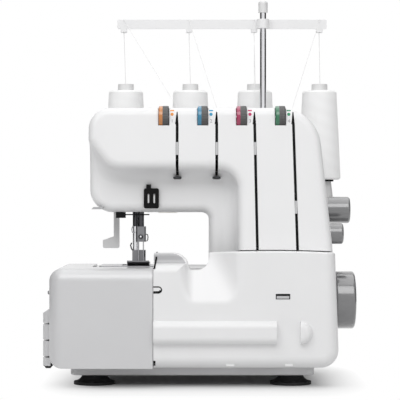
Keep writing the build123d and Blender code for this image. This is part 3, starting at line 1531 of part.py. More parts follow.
with BuildPart() as thread_windings:
    lean = (core_low - core_high) / (core_top - cone_bottom)
    seat = core_low - lean * (winding_top - cone_bottom)
    for cone_x in cone_places:
        with BuildSketch(Plane(origin=(cone_x, cone_y, cone_bottom), x_dir=(1, 0, 0), z_dir=(0, -1, 0))):
            with BuildLine():
                Polyline((core_low, 0), (winding_low - winding_round, 0), (winding_low, winding_round),
                         (winding_high, winding_top - cone_bottom - winding_round),
                         (winding_high - winding_round, winding_top - cone_bottom),
                         (seat, winding_top - cone_bottom), close=True)
            make_face()
        revolve(axis=Axis((cone_x, cone_y, 0), (0, 0, 1)))
thread_windings.part.label = "thread_windings"
export_step(thread_windings.part, "parts/thread_windings.step")

# Telescopic antenna: tube, rod, cap and thread guide bar
with BuildPart() as antenna_sleeve:
    bar((antenna_x, antenna_y, stand_bottom), (0, 0, 1), antenna_tube, antenna_tube_top - stand_bottom)
    bar((antenna_x, antenna_y, stand_bottom + stand_wall), (0, 0, 1), antenna_radius + slide_gap, far,
        mode=Mode.SUBTRACT)
antenna_sleeve.part.label = "antenna_sleeve"
export_step(antenna_sleeve.part, "parts/antenna_sleeve.step")

with BuildPart() as antenna_rod:
    bar((antenna_x, antenna_y, antenna_foot), (0, 0, 1), antenna_radius, cap_bottom - antenna_foot)
antenna_rod.part.label = "antenna_rod"
export_step(antenna_rod.part, "parts/antenna_rod.step")

with BuildPart() as antenna_cap:
    bar((antenna_x, antenna_y, cap_bottom), (0, 0, 1), cap_radius, cap_top - cap_bottom)
    fillet(antenna_cap.faces().sort_by(Axis.Z)[-1].edges(), cap_radius / 2)
antenna_cap.part.label = "antenna_cap"
export_step(antenna_cap.part, "parts/antenna_cap.step")

with BuildPart() as thread_guide_bar:
    with BuildSketch(front_plane(guide_bar_back)):
        with Locations(((guide_bar_left + guide_bar_right) / 2, (guide_bar_bottom + guide_bar_top) / 2)):
            RectangleRounded(guide_bar_right - guide_bar_left, guide_bar_top - guide_bar_bottom, eye_wall)
    extrude(amount=guide_bar_thick)
    bar((antenna_x, antenna_y, guide_bar_bottom), (0, 0, 1), antenna_radius + stand_wall,
        guide_bar_top - guide_bar_bottom)
    bar((antenna_x, antenna_y, guide_bar_bottom), (0, 0, 1), antenna_radius + slide_gap, far,
        mode=Mode.SUBTRACT)
    for eye_x in eye_places:
        span_box((eye_x - eye_radius - eye_wall, eye_x + eye_radius + eye_wall),
                 (guide_bar_back - guide_bar_thick, eye_y + eye_radius + eye_wall),
                 (eye_bottom, guide_bar_bottom + eye_wall))
        bar((eye_x, eye_y, eye_bottom), (0, 0, 1), eye_radius, far, mode=Mode.SUBTRACT)
thread_guide_bar.part.label = "thread_guide_bar"
export_step(thread_guide_bar.part, "parts/thread_guide_bar.step")

# Threads from the cones up to the guide eyes, and from the eyes down to the slots
with BuildPart() as cone_threads:
    for cone_x, eye_x in zip(cone_places, eye_places):
        start = Vector(cone_x, cone_y - core_high + core_wall / 2, core_top + running_gap)
        end = Vector(eye_x, eye_y + eye_radius - thread_radius - running_gap, eye_bottom)
        bar(start, end - start, thread_radius, (end - start).length)
cone_threads.part.label = "cone_threads"
export_step(cone_threads.part, "parts/cone_threads.step")

with BuildPart() as slot_threads:
    for eye_x, slot_x in zip(eye_places, slot_tops):
        start = Vector(eye_x, guide_bar_back - guide_bar_thick - thread_radius - running_gap, guide_bar_top)
        end = Vector(slot_x, thread_end_y, arm_top + thread_radius + running_gap)
        bar(start, end - start, thread_radius, (end - start).length)
slot_threads.part.label = "slot_threads"
export_step(slot_threads.part, "parts/slot_threads.step")
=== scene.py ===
"""Dresses a serger overlock machine in its finishes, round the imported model."""

from __future__ import annotations

import json
import logging
import math
from dataclasses import dataclass, field
from enum import Enum
from typing import Any, Callable, Sequence

import bmesh
import bpy
from mathutils import Matrix, Vector
from mathutils.bvhtree import BVHTree

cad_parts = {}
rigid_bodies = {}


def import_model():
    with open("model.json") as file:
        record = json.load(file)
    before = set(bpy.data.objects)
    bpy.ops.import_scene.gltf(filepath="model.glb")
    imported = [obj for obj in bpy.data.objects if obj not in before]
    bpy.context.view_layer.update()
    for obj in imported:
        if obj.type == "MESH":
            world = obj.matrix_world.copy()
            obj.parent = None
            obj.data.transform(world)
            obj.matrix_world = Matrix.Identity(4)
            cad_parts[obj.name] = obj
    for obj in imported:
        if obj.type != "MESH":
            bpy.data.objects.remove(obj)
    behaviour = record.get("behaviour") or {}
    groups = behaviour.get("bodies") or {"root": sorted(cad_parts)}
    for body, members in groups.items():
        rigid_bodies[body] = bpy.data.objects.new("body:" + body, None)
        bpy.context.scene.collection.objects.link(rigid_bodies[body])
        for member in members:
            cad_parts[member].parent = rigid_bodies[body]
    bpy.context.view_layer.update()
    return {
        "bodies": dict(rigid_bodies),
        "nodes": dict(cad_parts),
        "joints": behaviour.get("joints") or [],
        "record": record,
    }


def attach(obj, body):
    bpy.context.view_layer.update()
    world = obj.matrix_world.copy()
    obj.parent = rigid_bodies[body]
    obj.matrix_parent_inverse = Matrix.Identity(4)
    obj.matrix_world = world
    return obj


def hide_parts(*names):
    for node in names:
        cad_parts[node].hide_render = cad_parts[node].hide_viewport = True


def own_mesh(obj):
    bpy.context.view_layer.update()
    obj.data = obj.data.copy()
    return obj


LOG = logging.getLogger("overlock")
MM = 0.001
FULL_TURN = 2 * math.pi
FAR_OUT = 0.4  # metres from the middle, outside the whole machine
# painted shade stands off its surface by the same lift as ink
INK_AND_SHADE_LIFT = 0.06  # millimetres that ink stands off its surface
EASED_EDGE = 0.3  # millimetres
SMALL_SIDES = 24
FINE_DETAIL = 2.0
TOOL_DETAIL = 4.0
TINY = 1e-6
INK_TINT = 1.5
WHITE_LIGHT = (1, 1, 1, 1)
MIX_LOW, MIX_HIGH, MIX_RESULT = 6, 7, 2  # the Mix node's sockets for colours
Pair = tuple[float, float]
Triple = tuple[float, float, float]
Colour = Triple
Point = Triple
Box = tuple[float, float, float, float]
Outline = tuple[Pair, ...]
Drawing = Callable[[bmesh.types.BMesh], None]


def mm(*values: float) -> Vector:
    """A point given in millimetres, in metres."""
    return Vector(value * MM for value in values)


def tint(colour: Colour, factor: float) -> Colour:
    """A colour made lighter or darker."""
    return tuple(min(1.0, channel * factor) for channel in colour)


def inset(box: Box, left: float, low: float, right: float, high: float) -> Box:
    """A box drawn in on its four sides."""
    return (box[0] + left, box[1] + low, box[2] - right, box[3] - high)


class Run(Enum):
    """The way that a tool has left its lines on a metal face."""

    ACROSS = (4.0, 90.0, 90.0)
    DEEP = (90.0, 4.0, 90.0)
    UPRIGHT = (90.0, 90.0, 4.0)
    EVEN = (60.0, 60.0, 60.0)

    def lines(self, sheet: "Sheet", pitch: float) -> "Wire":
        """The tool's lines, from zero to one."""
        return sheet.noise(tuple(side * pitch for side in self.value), TOOL_DETAIL)


class Side(Enum):
    """The side that marks are laid on a surface from."""

    FRONT = (0, 1, 0)
    RIGHT = (-1, 0, 0)
    BACK = (0, -1, 0)

    def start(self, across: float, up: float) -> Vector:
        """A point far out on this side.

        Args:
            across: Millimetres along X, or along Y on the right.
            up: Millimetres up.

        Returns:
            The point in metres.
        """
        away = Vector(self.value) * -FAR_OUT
        return away + (mm(0, across, up) if self is Side.RIGHT else mm(across, 0, up))


class Cells(Enum):
    """How many cells a laid field has, across and up; the fields are printed marks and painted shade."""

    SIGHT_FRAME = (48, 24)
    SIGHT_BAR = (4, 4)
    LATCH = (60, 52)
    NOTCH = (4, 12)
    GUARD = (60, 18)
    GROOVE = (3, 2)
    SLOT_END = (4, 8)
    MARK_BAR = (12, 12)
    MARK_DOT = (24, 24)
    INDEX_LINE = (2, 12)


class Wire:
    """A node socket that takes part in Python arithmetic."""

    def __init__(self, nodes: "Nodes", socket: bpy.types.NodeSocket) -> None:
        """Wraps a socket.

        Args:
            nodes: The node tree that new nodes go into.
            socket: The output socket that carries the value.
        """
        self.nodes = nodes
        self.socket = socket

    def math(self, operation: str, *others: Any) -> "Wire":
        """This value through one Math node.

        Args:
            operation: The Math node's operation.
            others: The other operands, wires or numbers.

        Returns:
            The result's wire.
        """
        operands = dict(enumerate((self, *others)))
        return self.nodes.node("ShaderNodeMath", {"operation": operation}, operands)

    def __add__(self, other: Any) -> "Wire":
        """Sum."""
        return self.math("ADD", other)

    __radd__ = __add__

    def __mul__(self, other: Any) -> "Wire":
        """Product."""
        return self.math("MULTIPLY", other)

    __rmul__ = __mul__

    def __sub__(self, other: Any) -> "Wire":
        """Difference."""
        return self.math("SUBTRACT", other)

    def __rsub__(self, other: Any) -> "Wire":
        """Difference with this value taken off."""
        return self.nodes.node("ShaderNodeMath", {"operation": "SUBTRACT"}, {0: other, 1: self})

    def __gt__(self, other: Any) -> "Wire":
        """One where this value is the greater, and zero elsewhere."""
        return self.math("GREATER_THAN", other)

    def wave(self) -> "Wire":
        """The sine of this value, lifted to run from zero to one."""
        return self.math("SINE") * 0.5 + 0.5


def sway(level: float, *swings: tuple[Wire, float]) -> Wire:
    """A value that varies about a level.

    Args:
        level: The middle value.
        swings: Wires from zero to one, each with its whole swing.

    Returns:
        The value's wire.
    """
    total: Any = level - sum(swing for _, swing in swings) / 2
    for wire, swing in swings:
        total = wire * swing + total
    return total


class Nodes:
    """A node tree that grows."""

    def __init__(self, tree: bpy.types.NodeTree) -> None:
        """Holds the tree."""
        self.tree = tree

    def feed(self, node: bpy.types.Node, sockets: dict[Any, Any]) -> None:
        """Sets or links a node's inputs.

        Args:
            node: The node to feed.
            sockets: Values or wires by input name or number.
        """
        for key, value in sockets.items():
            if isinstance(value, Wire):
                self.tree.links.new(value.socket, node.inputs[key])
            else:
                node.inputs[key].default_value = value

    def add(self, kind: str, settings: dict[str, Any] | None = None,
            sockets: dict[Any, Any] | None = None) -> bpy.types.Node:
        """Adds a node.

        Args:
            kind: The node's type.
            settings: Attributes that are set first.
            sockets: Values or wires by input name or number.

        Returns:
            The node.
        """
        node = self.tree.nodes.new(kind)
        for name, value in (settings or {}).items():
            setattr(node, name, value)
        self.feed(node, sockets or {})
        return node

    def node(self, kind: str, settings: dict[str, Any] | None = None,
             sockets: dict[Any, Any] | None = None, out: Any = 0) -> Wire:
        """Adds a node and takes one of its outputs.

        Args:
            kind: The node's type.
            settings: Attributes that are set first.
            sockets: Values or wires by input name or number.
            out: The output to take, by name or number.

        Returns:
            The wire of that output.
        """
        return Wire(self, self.add(kind, settings, sockets).outputs[out])

    def seen(self) -> Wire:
        """Tells what the camera, a polished face or glass sees from what lights the machine.

        Returns:
            The wire of one where it is seen, and zero elsewhere.
        """
        rays = ("Is Camera Ray", "Is Glossy Ray", "Is Transmission Ray")
        either, *others = [self.node("ShaderNodeLightPath", out=ray) for ray in rays]
        for other in others:
            either = either.math("MAXIMUM", other)
        return either


class Sheet(Nodes):
    """The node tree of one finish."""

    def __init__(self, name: str) -> None:
        """Starts an empty material with a surface shader.

        Args:
            name: The material's name.
        """
        self.material = bpy.data.materials.new(name)
        self.material.use_nodes = True
        super().__init__(self.material.node_tree)
        self.tree.nodes.clear()
        self.shader = self.add("ShaderNodeBsdfPrincipled")
        self.output = self.add("ShaderNodeOutputMaterial", None, {0: self.shaded_face()})

    def shaded_face(self) -> Wire:
        """The wire of the surface shader."""
        return Wire(self, self.shader.outputs[0])

    def place(self) -> Wire:
        """The point on the machine, in metres."""
        return self.node("ShaderNodeTexCoord", out="Object")

    def parts(self) -> tuple[Wire, Wire, Wire]:
        """The point's three coordinates, in metres."""
        split = self.add("ShaderNodeSeparateXYZ", None, {0: self.place()})
        return tuple(Wire(self, output) for output in split.outputs)

    def noise(self, scale: float | Sequence[float], detail: float = 3.0) -> Wire:
        """Cloudy noise over the machine.

        Args:
            scale: Cycles per metre, alike or one for each axis.
            detail: How many finer layers it has.

        Returns:
            The noise value's wire.
        """
        even = isinstance(scale, (int, float))
        sizes = (scale,) * 3 if even else tuple(scale)
        stretched = self.node("ShaderNodeMapping", None, {"Vector": self.place(), "Scale": sizes})
        return self.node("ShaderNodeTexNoise", None, {"Vector": stretched, "Scale": 1.0, "Detail": detail})

    def blend(self, share: Wire, low: Any, high: Any) -> Wire:
        """A colour between two.

        Args:
            share: Zero for the low colour and one for the high one.
            low: A colour or a wire.
            high: A colour or a wire.

        Returns:
            The mixed colour's wire.
        """
        low, high = (end if isinstance(end, Wire) else (*end, 1) for end in (low, high))
        sockets = {0: share, MIX_LOW: low, MIX_HIGH: high}
        return self.node("ShaderNodeMix", {"data_type": "RGBA"}, sockets, MIX_RESULT)

    def mottle(self, share: Wire, colour: Colour, shades: Pair) -> Wire:
        """A colour that varies between a darker and a lighter shade of itself.

        Args:
            share: Zero for the darker shade and one for the lighter one.
            colour: The colour.
            shades: The factors of the two shades.

        Returns:
            The mixed colour's wire.
        """
        return self.blend(share, *(tint(colour, factor) for factor in shades))

    def bump(self, height: Wire, strength: float, depth: float) -> Wire:
        """A relief for the shader's normal.

        Args:
            height: The relief's height, from zero to one.
            strength: How strongly it shows.
            depth: Its real depth in millimetres.

        Returns:
            The normal's wire.
        """
        sockets = {"Height": height, "Strength": strength, "Distance": depth * MM}
        return self.node("ShaderNodeBump", None, sockets)

    def surface(self, **sockets: Any) -> bpy.types.Material:
        """Feeds the shader.

        Args:
            sockets: Shader inputs by name, with _ for a space.

        Returns:
            The finished material.
        """
        self.feed(self.shader, {name.replace("_", " "): value for name, value in sockets.items()})
        return self.material


@dataclass(frozen=True)
class Moulding:
    """Injection-moulded plastic with a fine spark-eroded grain."""

    name: str
    colour: Colour
    roughness: float = 0.34
    grain: float = 0.12
    pitch: float = 1600.0
    gloss: float = 0.15
    shine: float = 0.5
    grain_depth: float = 0.04
    cloud_pitch: float = 22.0
    shades: Pair = (0.975, 1.02)
    sways: Pair = (0.08, 0.05)
    gloss_roughness: float = 0.12

    def make(self) -> bpy.types.Material:
        """Makes the plastic.

        Returns:
            Its material.
        """
        sheet = Sheet(self.name)
        cloud = sheet.noise(self.cloud_pitch)
        fine = sheet.noise(self.pitch, FINE_DETAIL)
        return sheet.surface(
            Base_Color=sheet.mottle(cloud, self.colour, self.shades),
            Roughness=sway(self.roughness, *zip((cloud, fine), self.sways)),
            Coat_Weight=self.gloss, Coat_Roughness=self.gloss_roughness, Specular_IOR_Level=self.shine,
            Normal=sheet.bump(fine, self.grain, self.grain_depth))


@dataclass(frozen=True)
class BareMetal:
    """Ground, drawn, cast or plated metal."""

    name: str
    colour: Colour
    roughness: float = 0.3
    run: Run = Run.EVEN
    scratch: float = 0.15
    pitch: float = 30.0
    scratch_depth: float = 0.03
    smudge_pitch: float = 90.0
    shades: Pair = (0.9, 1.06)
    sways: Pair = (0.16, 0.1)

    def make(self) -> bpy.types.Material:
        """Makes the metal.

        Returns:
            Its material.
        """
        sheet = Sheet(self.name)
        lines = self.run.lines(sheet, self.pitch)
        smudge = sheet.noise(self.smudge_pitch)
        return sheet.surface(
            Base_Color=sheet.mottle(smudge, self.colour, self.shades), Metallic=1.0,
            Roughness=sway(self.roughness, *zip((lines, smudge), self.sways)),
            Normal=sheet.bump(lines, self.scratch, self.scratch_depth))


@dataclass(frozen=True)
class HalfBlacked:
    """A steel bar that is blackened above its polished end."""

    name: str
    split: float
    dark: Colour = (0.07, 0.07, 0.075)
    bright: Colour = (0.80, 0.80, 0.82)
    roughness: float = 0.28
    swing: float = 0.16
    scratch: float = 0.12
    pitch: float = 30.0
    scratch_depth: float = 0.03

    def make(self) -> bpy.types.Material:
        """Makes the bar's steel.

        Returns:
            Its material.
        """
        sheet = Sheet(self.name)
        height = sheet.parts()[2]
        lines = Run.UPRIGHT.lines(sheet, self.pitch)
        return sheet.surface(
            Base_Color=sheet.blend(height > self.split * MM, self.bright, self.dark), Metallic=1.0,
            Roughness=sway(self.roughness, (lines, self.swing)),
            Normal=sheet.bump(lines, self.scratch, self.scratch_depth))


@dataclass(frozen=True)
class Rubber:
    """Matt black rubber with a dusty bloom."""

    name: str
    colour: Colour = (0.012, 0.012, 0.013)
    roughness: float = 0.72
    swing: float = 0.2
    bloom_pitch: float = 160.0
    bloom_detail: float = 5.0
    shades: Pair = (1.0, 2.2)
    grain: float = 0.2
    pitch: float = 2400.0
    grain_depth: float = 0.05

    def make(self) -> bpy.types.Material:
        """Makes the rubber.

        Returns:
            Its material.
        """
        sheet = Sheet(self.name)
        bloom = sheet.noise(self.bloom_pitch, self.bloom_detail)
        return sheet.surface(
            Base_Color=sheet.mottle(bloom, self.colour, self.shades),
            Roughness=sway(self.roughness, (bloom, self.swing)),
            Normal=sheet.bump(sheet.noise(self.pitch), self.grain, self.grain_depth))


@dataclass(frozen=True)
class CrossWound:
    """Thread laid on a row of cones in crossing turns."""

    name: str
    first: Pair
    cone_pitch: float
    colour: Colour = (0.94, 0.94, 0.94)
    rise: float = 3600.0
    turns: float = 34.0
    layer_rise: float = 420.0
    layer_turns: float = 3.0
    fuzz_pitch: float = 2600.0
    shades: Pair = (0.93, 1.05)
    shares: Triple = (0.5, 0.2, 0.3)  # of lay, layers and fuzz in the colour
    relief_shares: Pair = (0.7, 0.3)  # of lay and fuzz in the relief
    relief: float = 0.45
    relief_depth: float = 0.2
    roughness: float = 0.72
    swing: float = 0.2
    sheen: float = 0.35

    def make(self) -> bpy.types.Material:
        """Makes the winding.

        Returns:
            Its material.
        """
        sheet = Sheet(self.name)
        x, y, z = sheet.parts()
        pitch = self.cone_pitch * MM
        offset = (x - (self.first[0] * MM - pitch / 2)).math("FLOORED_MODULO", pitch) - pitch / 2
        angle = (y - self.first[1] * MM).math("ARCTAN2", offset)
        up = (z * self.rise + angle * self.turns).wave()
        down = (z * self.rise - angle * self.turns).wave()
        lay = up.math("MAXIMUM", down)
        layers = (z * self.layer_rise + angle * self.layer_turns).wave()
        fuzz = sheet.noise(self.fuzz_pitch, TOOL_DETAIL)
        shade = lay * self.shares[0] + layers * self.shares[1] + fuzz * self.shares[2]
        height = lay * self.relief_shares[0] + fuzz * self.relief_shares[1]
        return sheet.surface(
            Base_Color=sheet.mottle(shade, self.colour, self.shades),
            Roughness=sway(self.roughness, (fuzz, self.swing)), Sheen_Weight=self.sheen,
            Normal=sheet.bump(height, self.relief, self.relief_depth))


@dataclass(frozen=True)
class TensionKnob:
    """A tension dial with a coloured cheek and a ribbed dark rim."""

    name: str
    colour: Colour
    rim: Colour
    split_x: float
    axis: Pair
    ribs: float = 44.0
    pitch: float = 1500.0
    cheek_shades: Pair = (0.92, 1.06)
    rim_shades: Pair = (0.7, 1.12)
    roughness: float = 0.16
    rim_roughness: float = 0.24
    fine_roughness: float = 0.06
    cheek_gloss: float = 0.8
    grain: float = 0.1
    relief: float = 0.5
    relief_depth: float = 0.5

    def make(self) -> bpy.types.Material:
        """Makes the dial's plastic.

        Returns:
            Its material.
        """
        sheet = Sheet(self.name)
        x, y, z = sheet.parts()
        right = x > self.split_x * MM
        angle = (z - self.axis[1] * MM).math("ARCTAN2", y - self.axis[0] * MM)
        ribs = (angle * self.ribs).wave() * right
        fine = sheet.noise(self.pitch)
        cheek = sheet.mottle(fine, self.colour, self.cheek_shades)
        rim = sheet.mottle(ribs, self.rim, self.rim_shades)
        return sheet.surface(
            Base_Color=sheet.blend(right, cheek, rim),
            Roughness=right * self.rim_roughness + fine * self.fine_roughness + self.roughness,
            Coat_Weight=self.cheek_gloss * (1 - right),
            Normal=sheet.bump(ribs + fine * self.grain, self.relief, self.relief_depth))


@dataclass(frozen=True)
class Lens:
    """The lamp's frosted lens, faintly lit from behind."""

    name: str
    colour: Colour = (0.95, 0.93, 0.86)
    glow: float = 0.2
    pitch: float = 1800.0
    shades: Pair = (0.9, 1.0)
    roughness: float = 0.4
    swing: float = 0.2
    relief: float = 0.25
    relief_depth: float = 0.1

    def make(self) -> bpy.types.Material:
        """Makes the lens.

        Returns:
            Its material.
        """
        sheet = Sheet(self.name)
        frost = sheet.noise(self.pitch)
        return sheet.surface(
            Base_Color=sheet.mottle(frost, self.colour, self.shades),
            Roughness=sway(self.roughness, (frost, self.swing)),
            Emission_Color=(*self.colour, 1), Emission_Strength=self.glow,
            Normal=sheet.bump(frost, self.relief, self.relief_depth))


Finish = Moulding | BareMetal | HalfBlacked | Rubber | CrossWound | TensionKnob | Lens

WHITE = Moulding("white_shell", (0.84, 0.84, 0.845), gloss=0.06, shine=0.35)
# darker than the white shells: partly the side cover's greyer plastic, partly painted shade for a face lying
# further from the light
SIDE_GREY_AND_SHADE = Moulding("side_shell", (0.61, 0.61, 0.62), roughness=0.42, gloss=0.5, shine=0.9)
# grey plastic of the thread cutter; on the hump it is partly a grey guard and partly painted shade
GREY_AND_SHADE = Moulding("guard_grey", (0.46, 0.46, 0.47), roughness=0.4)
BASE_GREY = Moulding("base_grey", (0.78, 0.78, 0.79), roughness=0.5, grain=0.3, pitch=900.0, gloss=0.0)
KNOB_GREY = Moulding("knob_grey", (0.16, 0.16, 0.165), roughness=0.18, grain=0.04, pitch=1100.0,
                     gloss=0.9, shine=1.0)
# dark plastic of real parts; also laid as painted shade in the latch's groove, the notch, the sight window,
# the slot ends, the grip's grooves and the screw heads
DARK = Moulding("dark_plastic", (0.004, 0.004, 0.0045), roughness=0.45, grain=0.2, pitch=1100.0,
                gloss=0.0, shine=0.12)
PALE = Moulding("pale_plastic", (0.74, 0.74, 0.74), roughness=0.36)
DISC = Moulding("disc_grey", (0.55, 0.55, 0.56), roughness=0.3)
INK = Moulding("ink_grey", (0.30, 0.30, 0.31), roughness=0.6, grain=0.05, pitch=900.0, gloss=0.0)
STEEL = BareMetal("ground_steel", (0.50, 0.50, 0.52), roughness=0.26, run=Run.UPRIGHT)
BAR_STEEL = BareMetal("black_steel", (0.07, 0.07, 0.075), roughness=0.28, run=Run.UPRIGHT)
CLAMP_STEEL = BareMetal("clamp_steel", (0.23, 0.23, 0.24), roughness=0.34, run=Run.UPRIGHT)
PLATE_STEEL = BareMetal("plate_steel", (0.60, 0.60, 0.62), roughness=0.3, run=Run.DEEP)
SHAFT_STEEL = BareMetal("shaft_steel", (0.52, 0.52, 0.54), roughness=0.28, run=Run.ACROSS)
PRESSER_STEEL = HalfBlacked("presser_steel", split=163.0)
CHROME = BareMetal("chrome", (0.72, 0.72, 0.74), roughness=0.14, run=Run.UPRIGHT, scratch=0.04)
CASTING = BareMetal("casting", (0.50, 0.50, 0.51), roughness=0.5, run=Run.EVEN, scratch=0.5, pitch=14.0)
BRONZE = BareMetal("bronze", (0.52, 0.33, 0.12), roughness=0.34, run=Run.ACROSS)
RUBBER = Rubber("black_rubber")
BELT = Rubber("belt_rubber", (0.018, 0.018, 0.018))
YARN = Moulding("yarn", (0.82, 0.82, 0.82), roughness=0.7, grain=0.4, pitch=3000.0, gloss=0.0)
LENS = Lens("lens")


class Band(Enum):
    """The colour that marks each thread's path, and its name in the record."""

    LEFT_NEEDLE = ("orange", (0.52, 0.19, 0.04))
    RIGHT_NEEDLE = ("blue", (0.012, 0.19, 0.33))
    UPPER_LOOPER = ("magenta", (0.34, 0.010, 0.075))
    LOWER_LOOPER = ("green", (0.008, 0.15, 0.065))

    def __init__(self, hue: str, colour: Colour) -> None:
        """Holds the two.

        Args:
            hue: The colour's name.
            colour: The colour.
        """
        self.slot = f"dial_{hue}"
        self.colour = colour
        self.path = self.name.lower()

    def ink(self) -> Moulding:
        """The ink of this path's marks."""
        return Moulding(f"ink_{self.path}", tint(self.colour, INK_TINT), roughness=0.5, grain=0.05,
                        pitch=900.0, gloss=0.0)


def mesh_from(name: str, draw: Drawing) -> bpy.types.Mesh:
    """A mesh drawn by a function.

    Args:
        name: The mesh's name.
        draw: Adds the geometry.

    Returns:
        The mesh.
    """
    work = bmesh.new()
    draw(work)
    bmesh.ops.recalc_face_normals(work, faces=work.faces)
    mesh = bpy.data.meshes.new(name)
    work.to_mesh(mesh)
    work.free()
    return mesh


def close_rings(work: bmesh.types.BMesh, rings: Sequence[Sequence[bmesh.types.BMVert]],
                smooth: bool = True) -> None:
    """Makes a closed form of rings of corners.

    Args:
        work: The mesh.
        rings: The rings from end to end, with as many corners each.
        smooth: Whether the faces between the rings shade as one.
    """
    work.faces.new(rings[0])
    work.faces.new(rings[-1])
    for low, high in zip(rings, rings[1:]):
        for step in range(len(low)):
            after = (step + 1) % len(low)
            work.faces.new((low[step], low[after], high[after], high[step])).smooth = smooth


def ring_spots(sides: int) -> list[Pair]:
    """The corners of a ring of radius one."""
    turns = [FULL_TURN * step / sides for step in range(sides)]
    return [(math.cos(turn), math.sin(turn)) for turn in turns]


def tube(path: Sequence[Vector], radius: float, sides: int = 8) -> Drawing:
    """Draws a round tube along points.

    Args:
        path: The points of the middle line, in metres.
        radius: The tube's radius in millimetres.
        sides: How many sides it has.

    Returns:
        The drawing function.
    """
    def draw(work: bmesh.types.BMesh) -> None:
        """Adds the rings and closes them.

        Args:
            work: The mesh.
        """
        rings = []
        side = Vector((1, 0, 0))
        for index, point in enumerate(path):
            ahead = path[min(index + 1, len(path) - 1)] - path[max(index - 1, 0)]
            ahead.normalize()
            side = side - ahead * side.dot(ahead)
            if side.length < TINY:
                side = ahead.orthogonal()
            side.normalize()
            up = ahead.cross(side)
            spokes = [side * x + up * y for x, y in ring_spots(sides)]
            rings.append([work.verts.new(point + spoke * (radius * MM)) for spoke in spokes])
        close_rings(work, rings)
    return draw


def lathe(profile: Outline, place: Matrix, sides: int = 32) -> Drawing:
    """Draws a turned form.

    Args:
        profile: Radius and height pairs in millimetres, from the foot to the top.
        place: Where the axis foot goes, with the axis along its Z.
        sides: How many sides it has.

    Returns:
        The drawing function.
    """
    def draw(work: bmesh.types.BMesh) -> None:
        """Adds the rings and closes them.

        Args:
            work: The mesh.
        """
        spots = ring_spots(sides)
        rings = [[work.verts.new(place @ mm(radius * x, radius * y, height)) for x, y in spots]
                 for radius, height in profile]
        close_rings(work, rings)
    return draw


def slab(outline: Outline, near: float, far: float) -> Drawing:
    """Draws a flat piece with sharp edges from its outline in the front view.

    Args:
        outline: X and Z pairs in millimetres.
        near: The depth of one face, in millimetres.
        far: The depth of the other.

    Returns:
        The drawing function.
    """
    def draw(work: bmesh.types.BMesh) -> None:
        """Adds the two faces and the rim."""
        rings = [[work.verts.new(mm(x, depth, z)) for x, z in outline] for depth in (near, far)]
        close_rings(work, rings, False)
    return draw


def prism(outline: Outline, depths: Pair) -> Drawing:
    """Draws a flat piece with eased edges from its outline in the front view.

    Args:
        outline: X and Z pairs in millimetres.
        depths: The depths of its front and its back, in millimetres.

    Returns:
        The drawing function.
    """
    def draw(work: bmesh.types.BMesh) -> None:
        """Adds the slab and eases its edges.

        Args:
            work: The mesh.
        """
        slab(outline, *depths)(work)
        bmesh.ops.bevel(work, geom=list(work.edges), offset=EASED_EDGE * MM, segments=2,
                        affect="EDGES", profile=0.5)
    return draw


def laid_on(skin: BVHTree, across: float, up: float, lift: float = INK_AND_SHADE_LIFT,
            side: Side = Side.FRONT) -> Vector:
    """The point of a surface behind a place in a side's view.

    Args:
        skin: The surface.
        across: Millimetres along X, or along Y on the right.
        up: Millimetres up.
        lift: How far before the surface the point lies, in millimetres.
        side: The side that it is seen from.

    Returns:
        The point in metres.
    """
    hit = skin.ray_cast(side.start(across, up), Vector(side.value))[0]
    return hit - Vector(side.value) * lift * MM


def field_on(skin: BVHTree, box: Box, cells: Cells, cut: Callable[[float, float], bool] | None = None,
             side: Side = Side.FRONT) -> Drawing:
    """Draws a field that follows a surface, for a printed mark or for painted shade.

    Args:
        skin: The surface.
        box: Left, bottom, right and top in millimetres.
        cells: How many cells it has each way.
        cut: Whether a place in the field is drawn, or all of it if left out.
        side: The side that it is laid on from.

    Returns:
        The drawing function.
    """
    def draw(work: bmesh.types.BMesh) -> None:
        """Adds a grid of cells laid on the surface.

        Args:
            work: The mesh.
        """
        left, low, right, high = box
        columns, rows = cells.value
        wide, tall = (right - left) / columns, (high - low) / rows
        grid: dict[tuple[int, int], bmesh.types.BMVert] = {}

        def corner(i: int, j: int) -> bmesh.types.BMVert:
            """A cell's corner, made once.

            Args:
                i: Its column.
                j: Its row.

            Returns:
                The corner.
            """
            if (i, j) not in grid:
                grid[i, j] = work.verts.new(laid_on(skin, left + wide * i, low + tall * j, side=side))
            return grid[i, j]
        for i in range(columns):
            for j in range(rows):
                if cut is None or cut(left + wide * (i + 0.5), low + tall * (j + 0.5)):
                    work.faces.new((corner(i, j), corner(i + 1, j), corner(i + 1, j + 1), corner(i, j + 1)))
    return draw


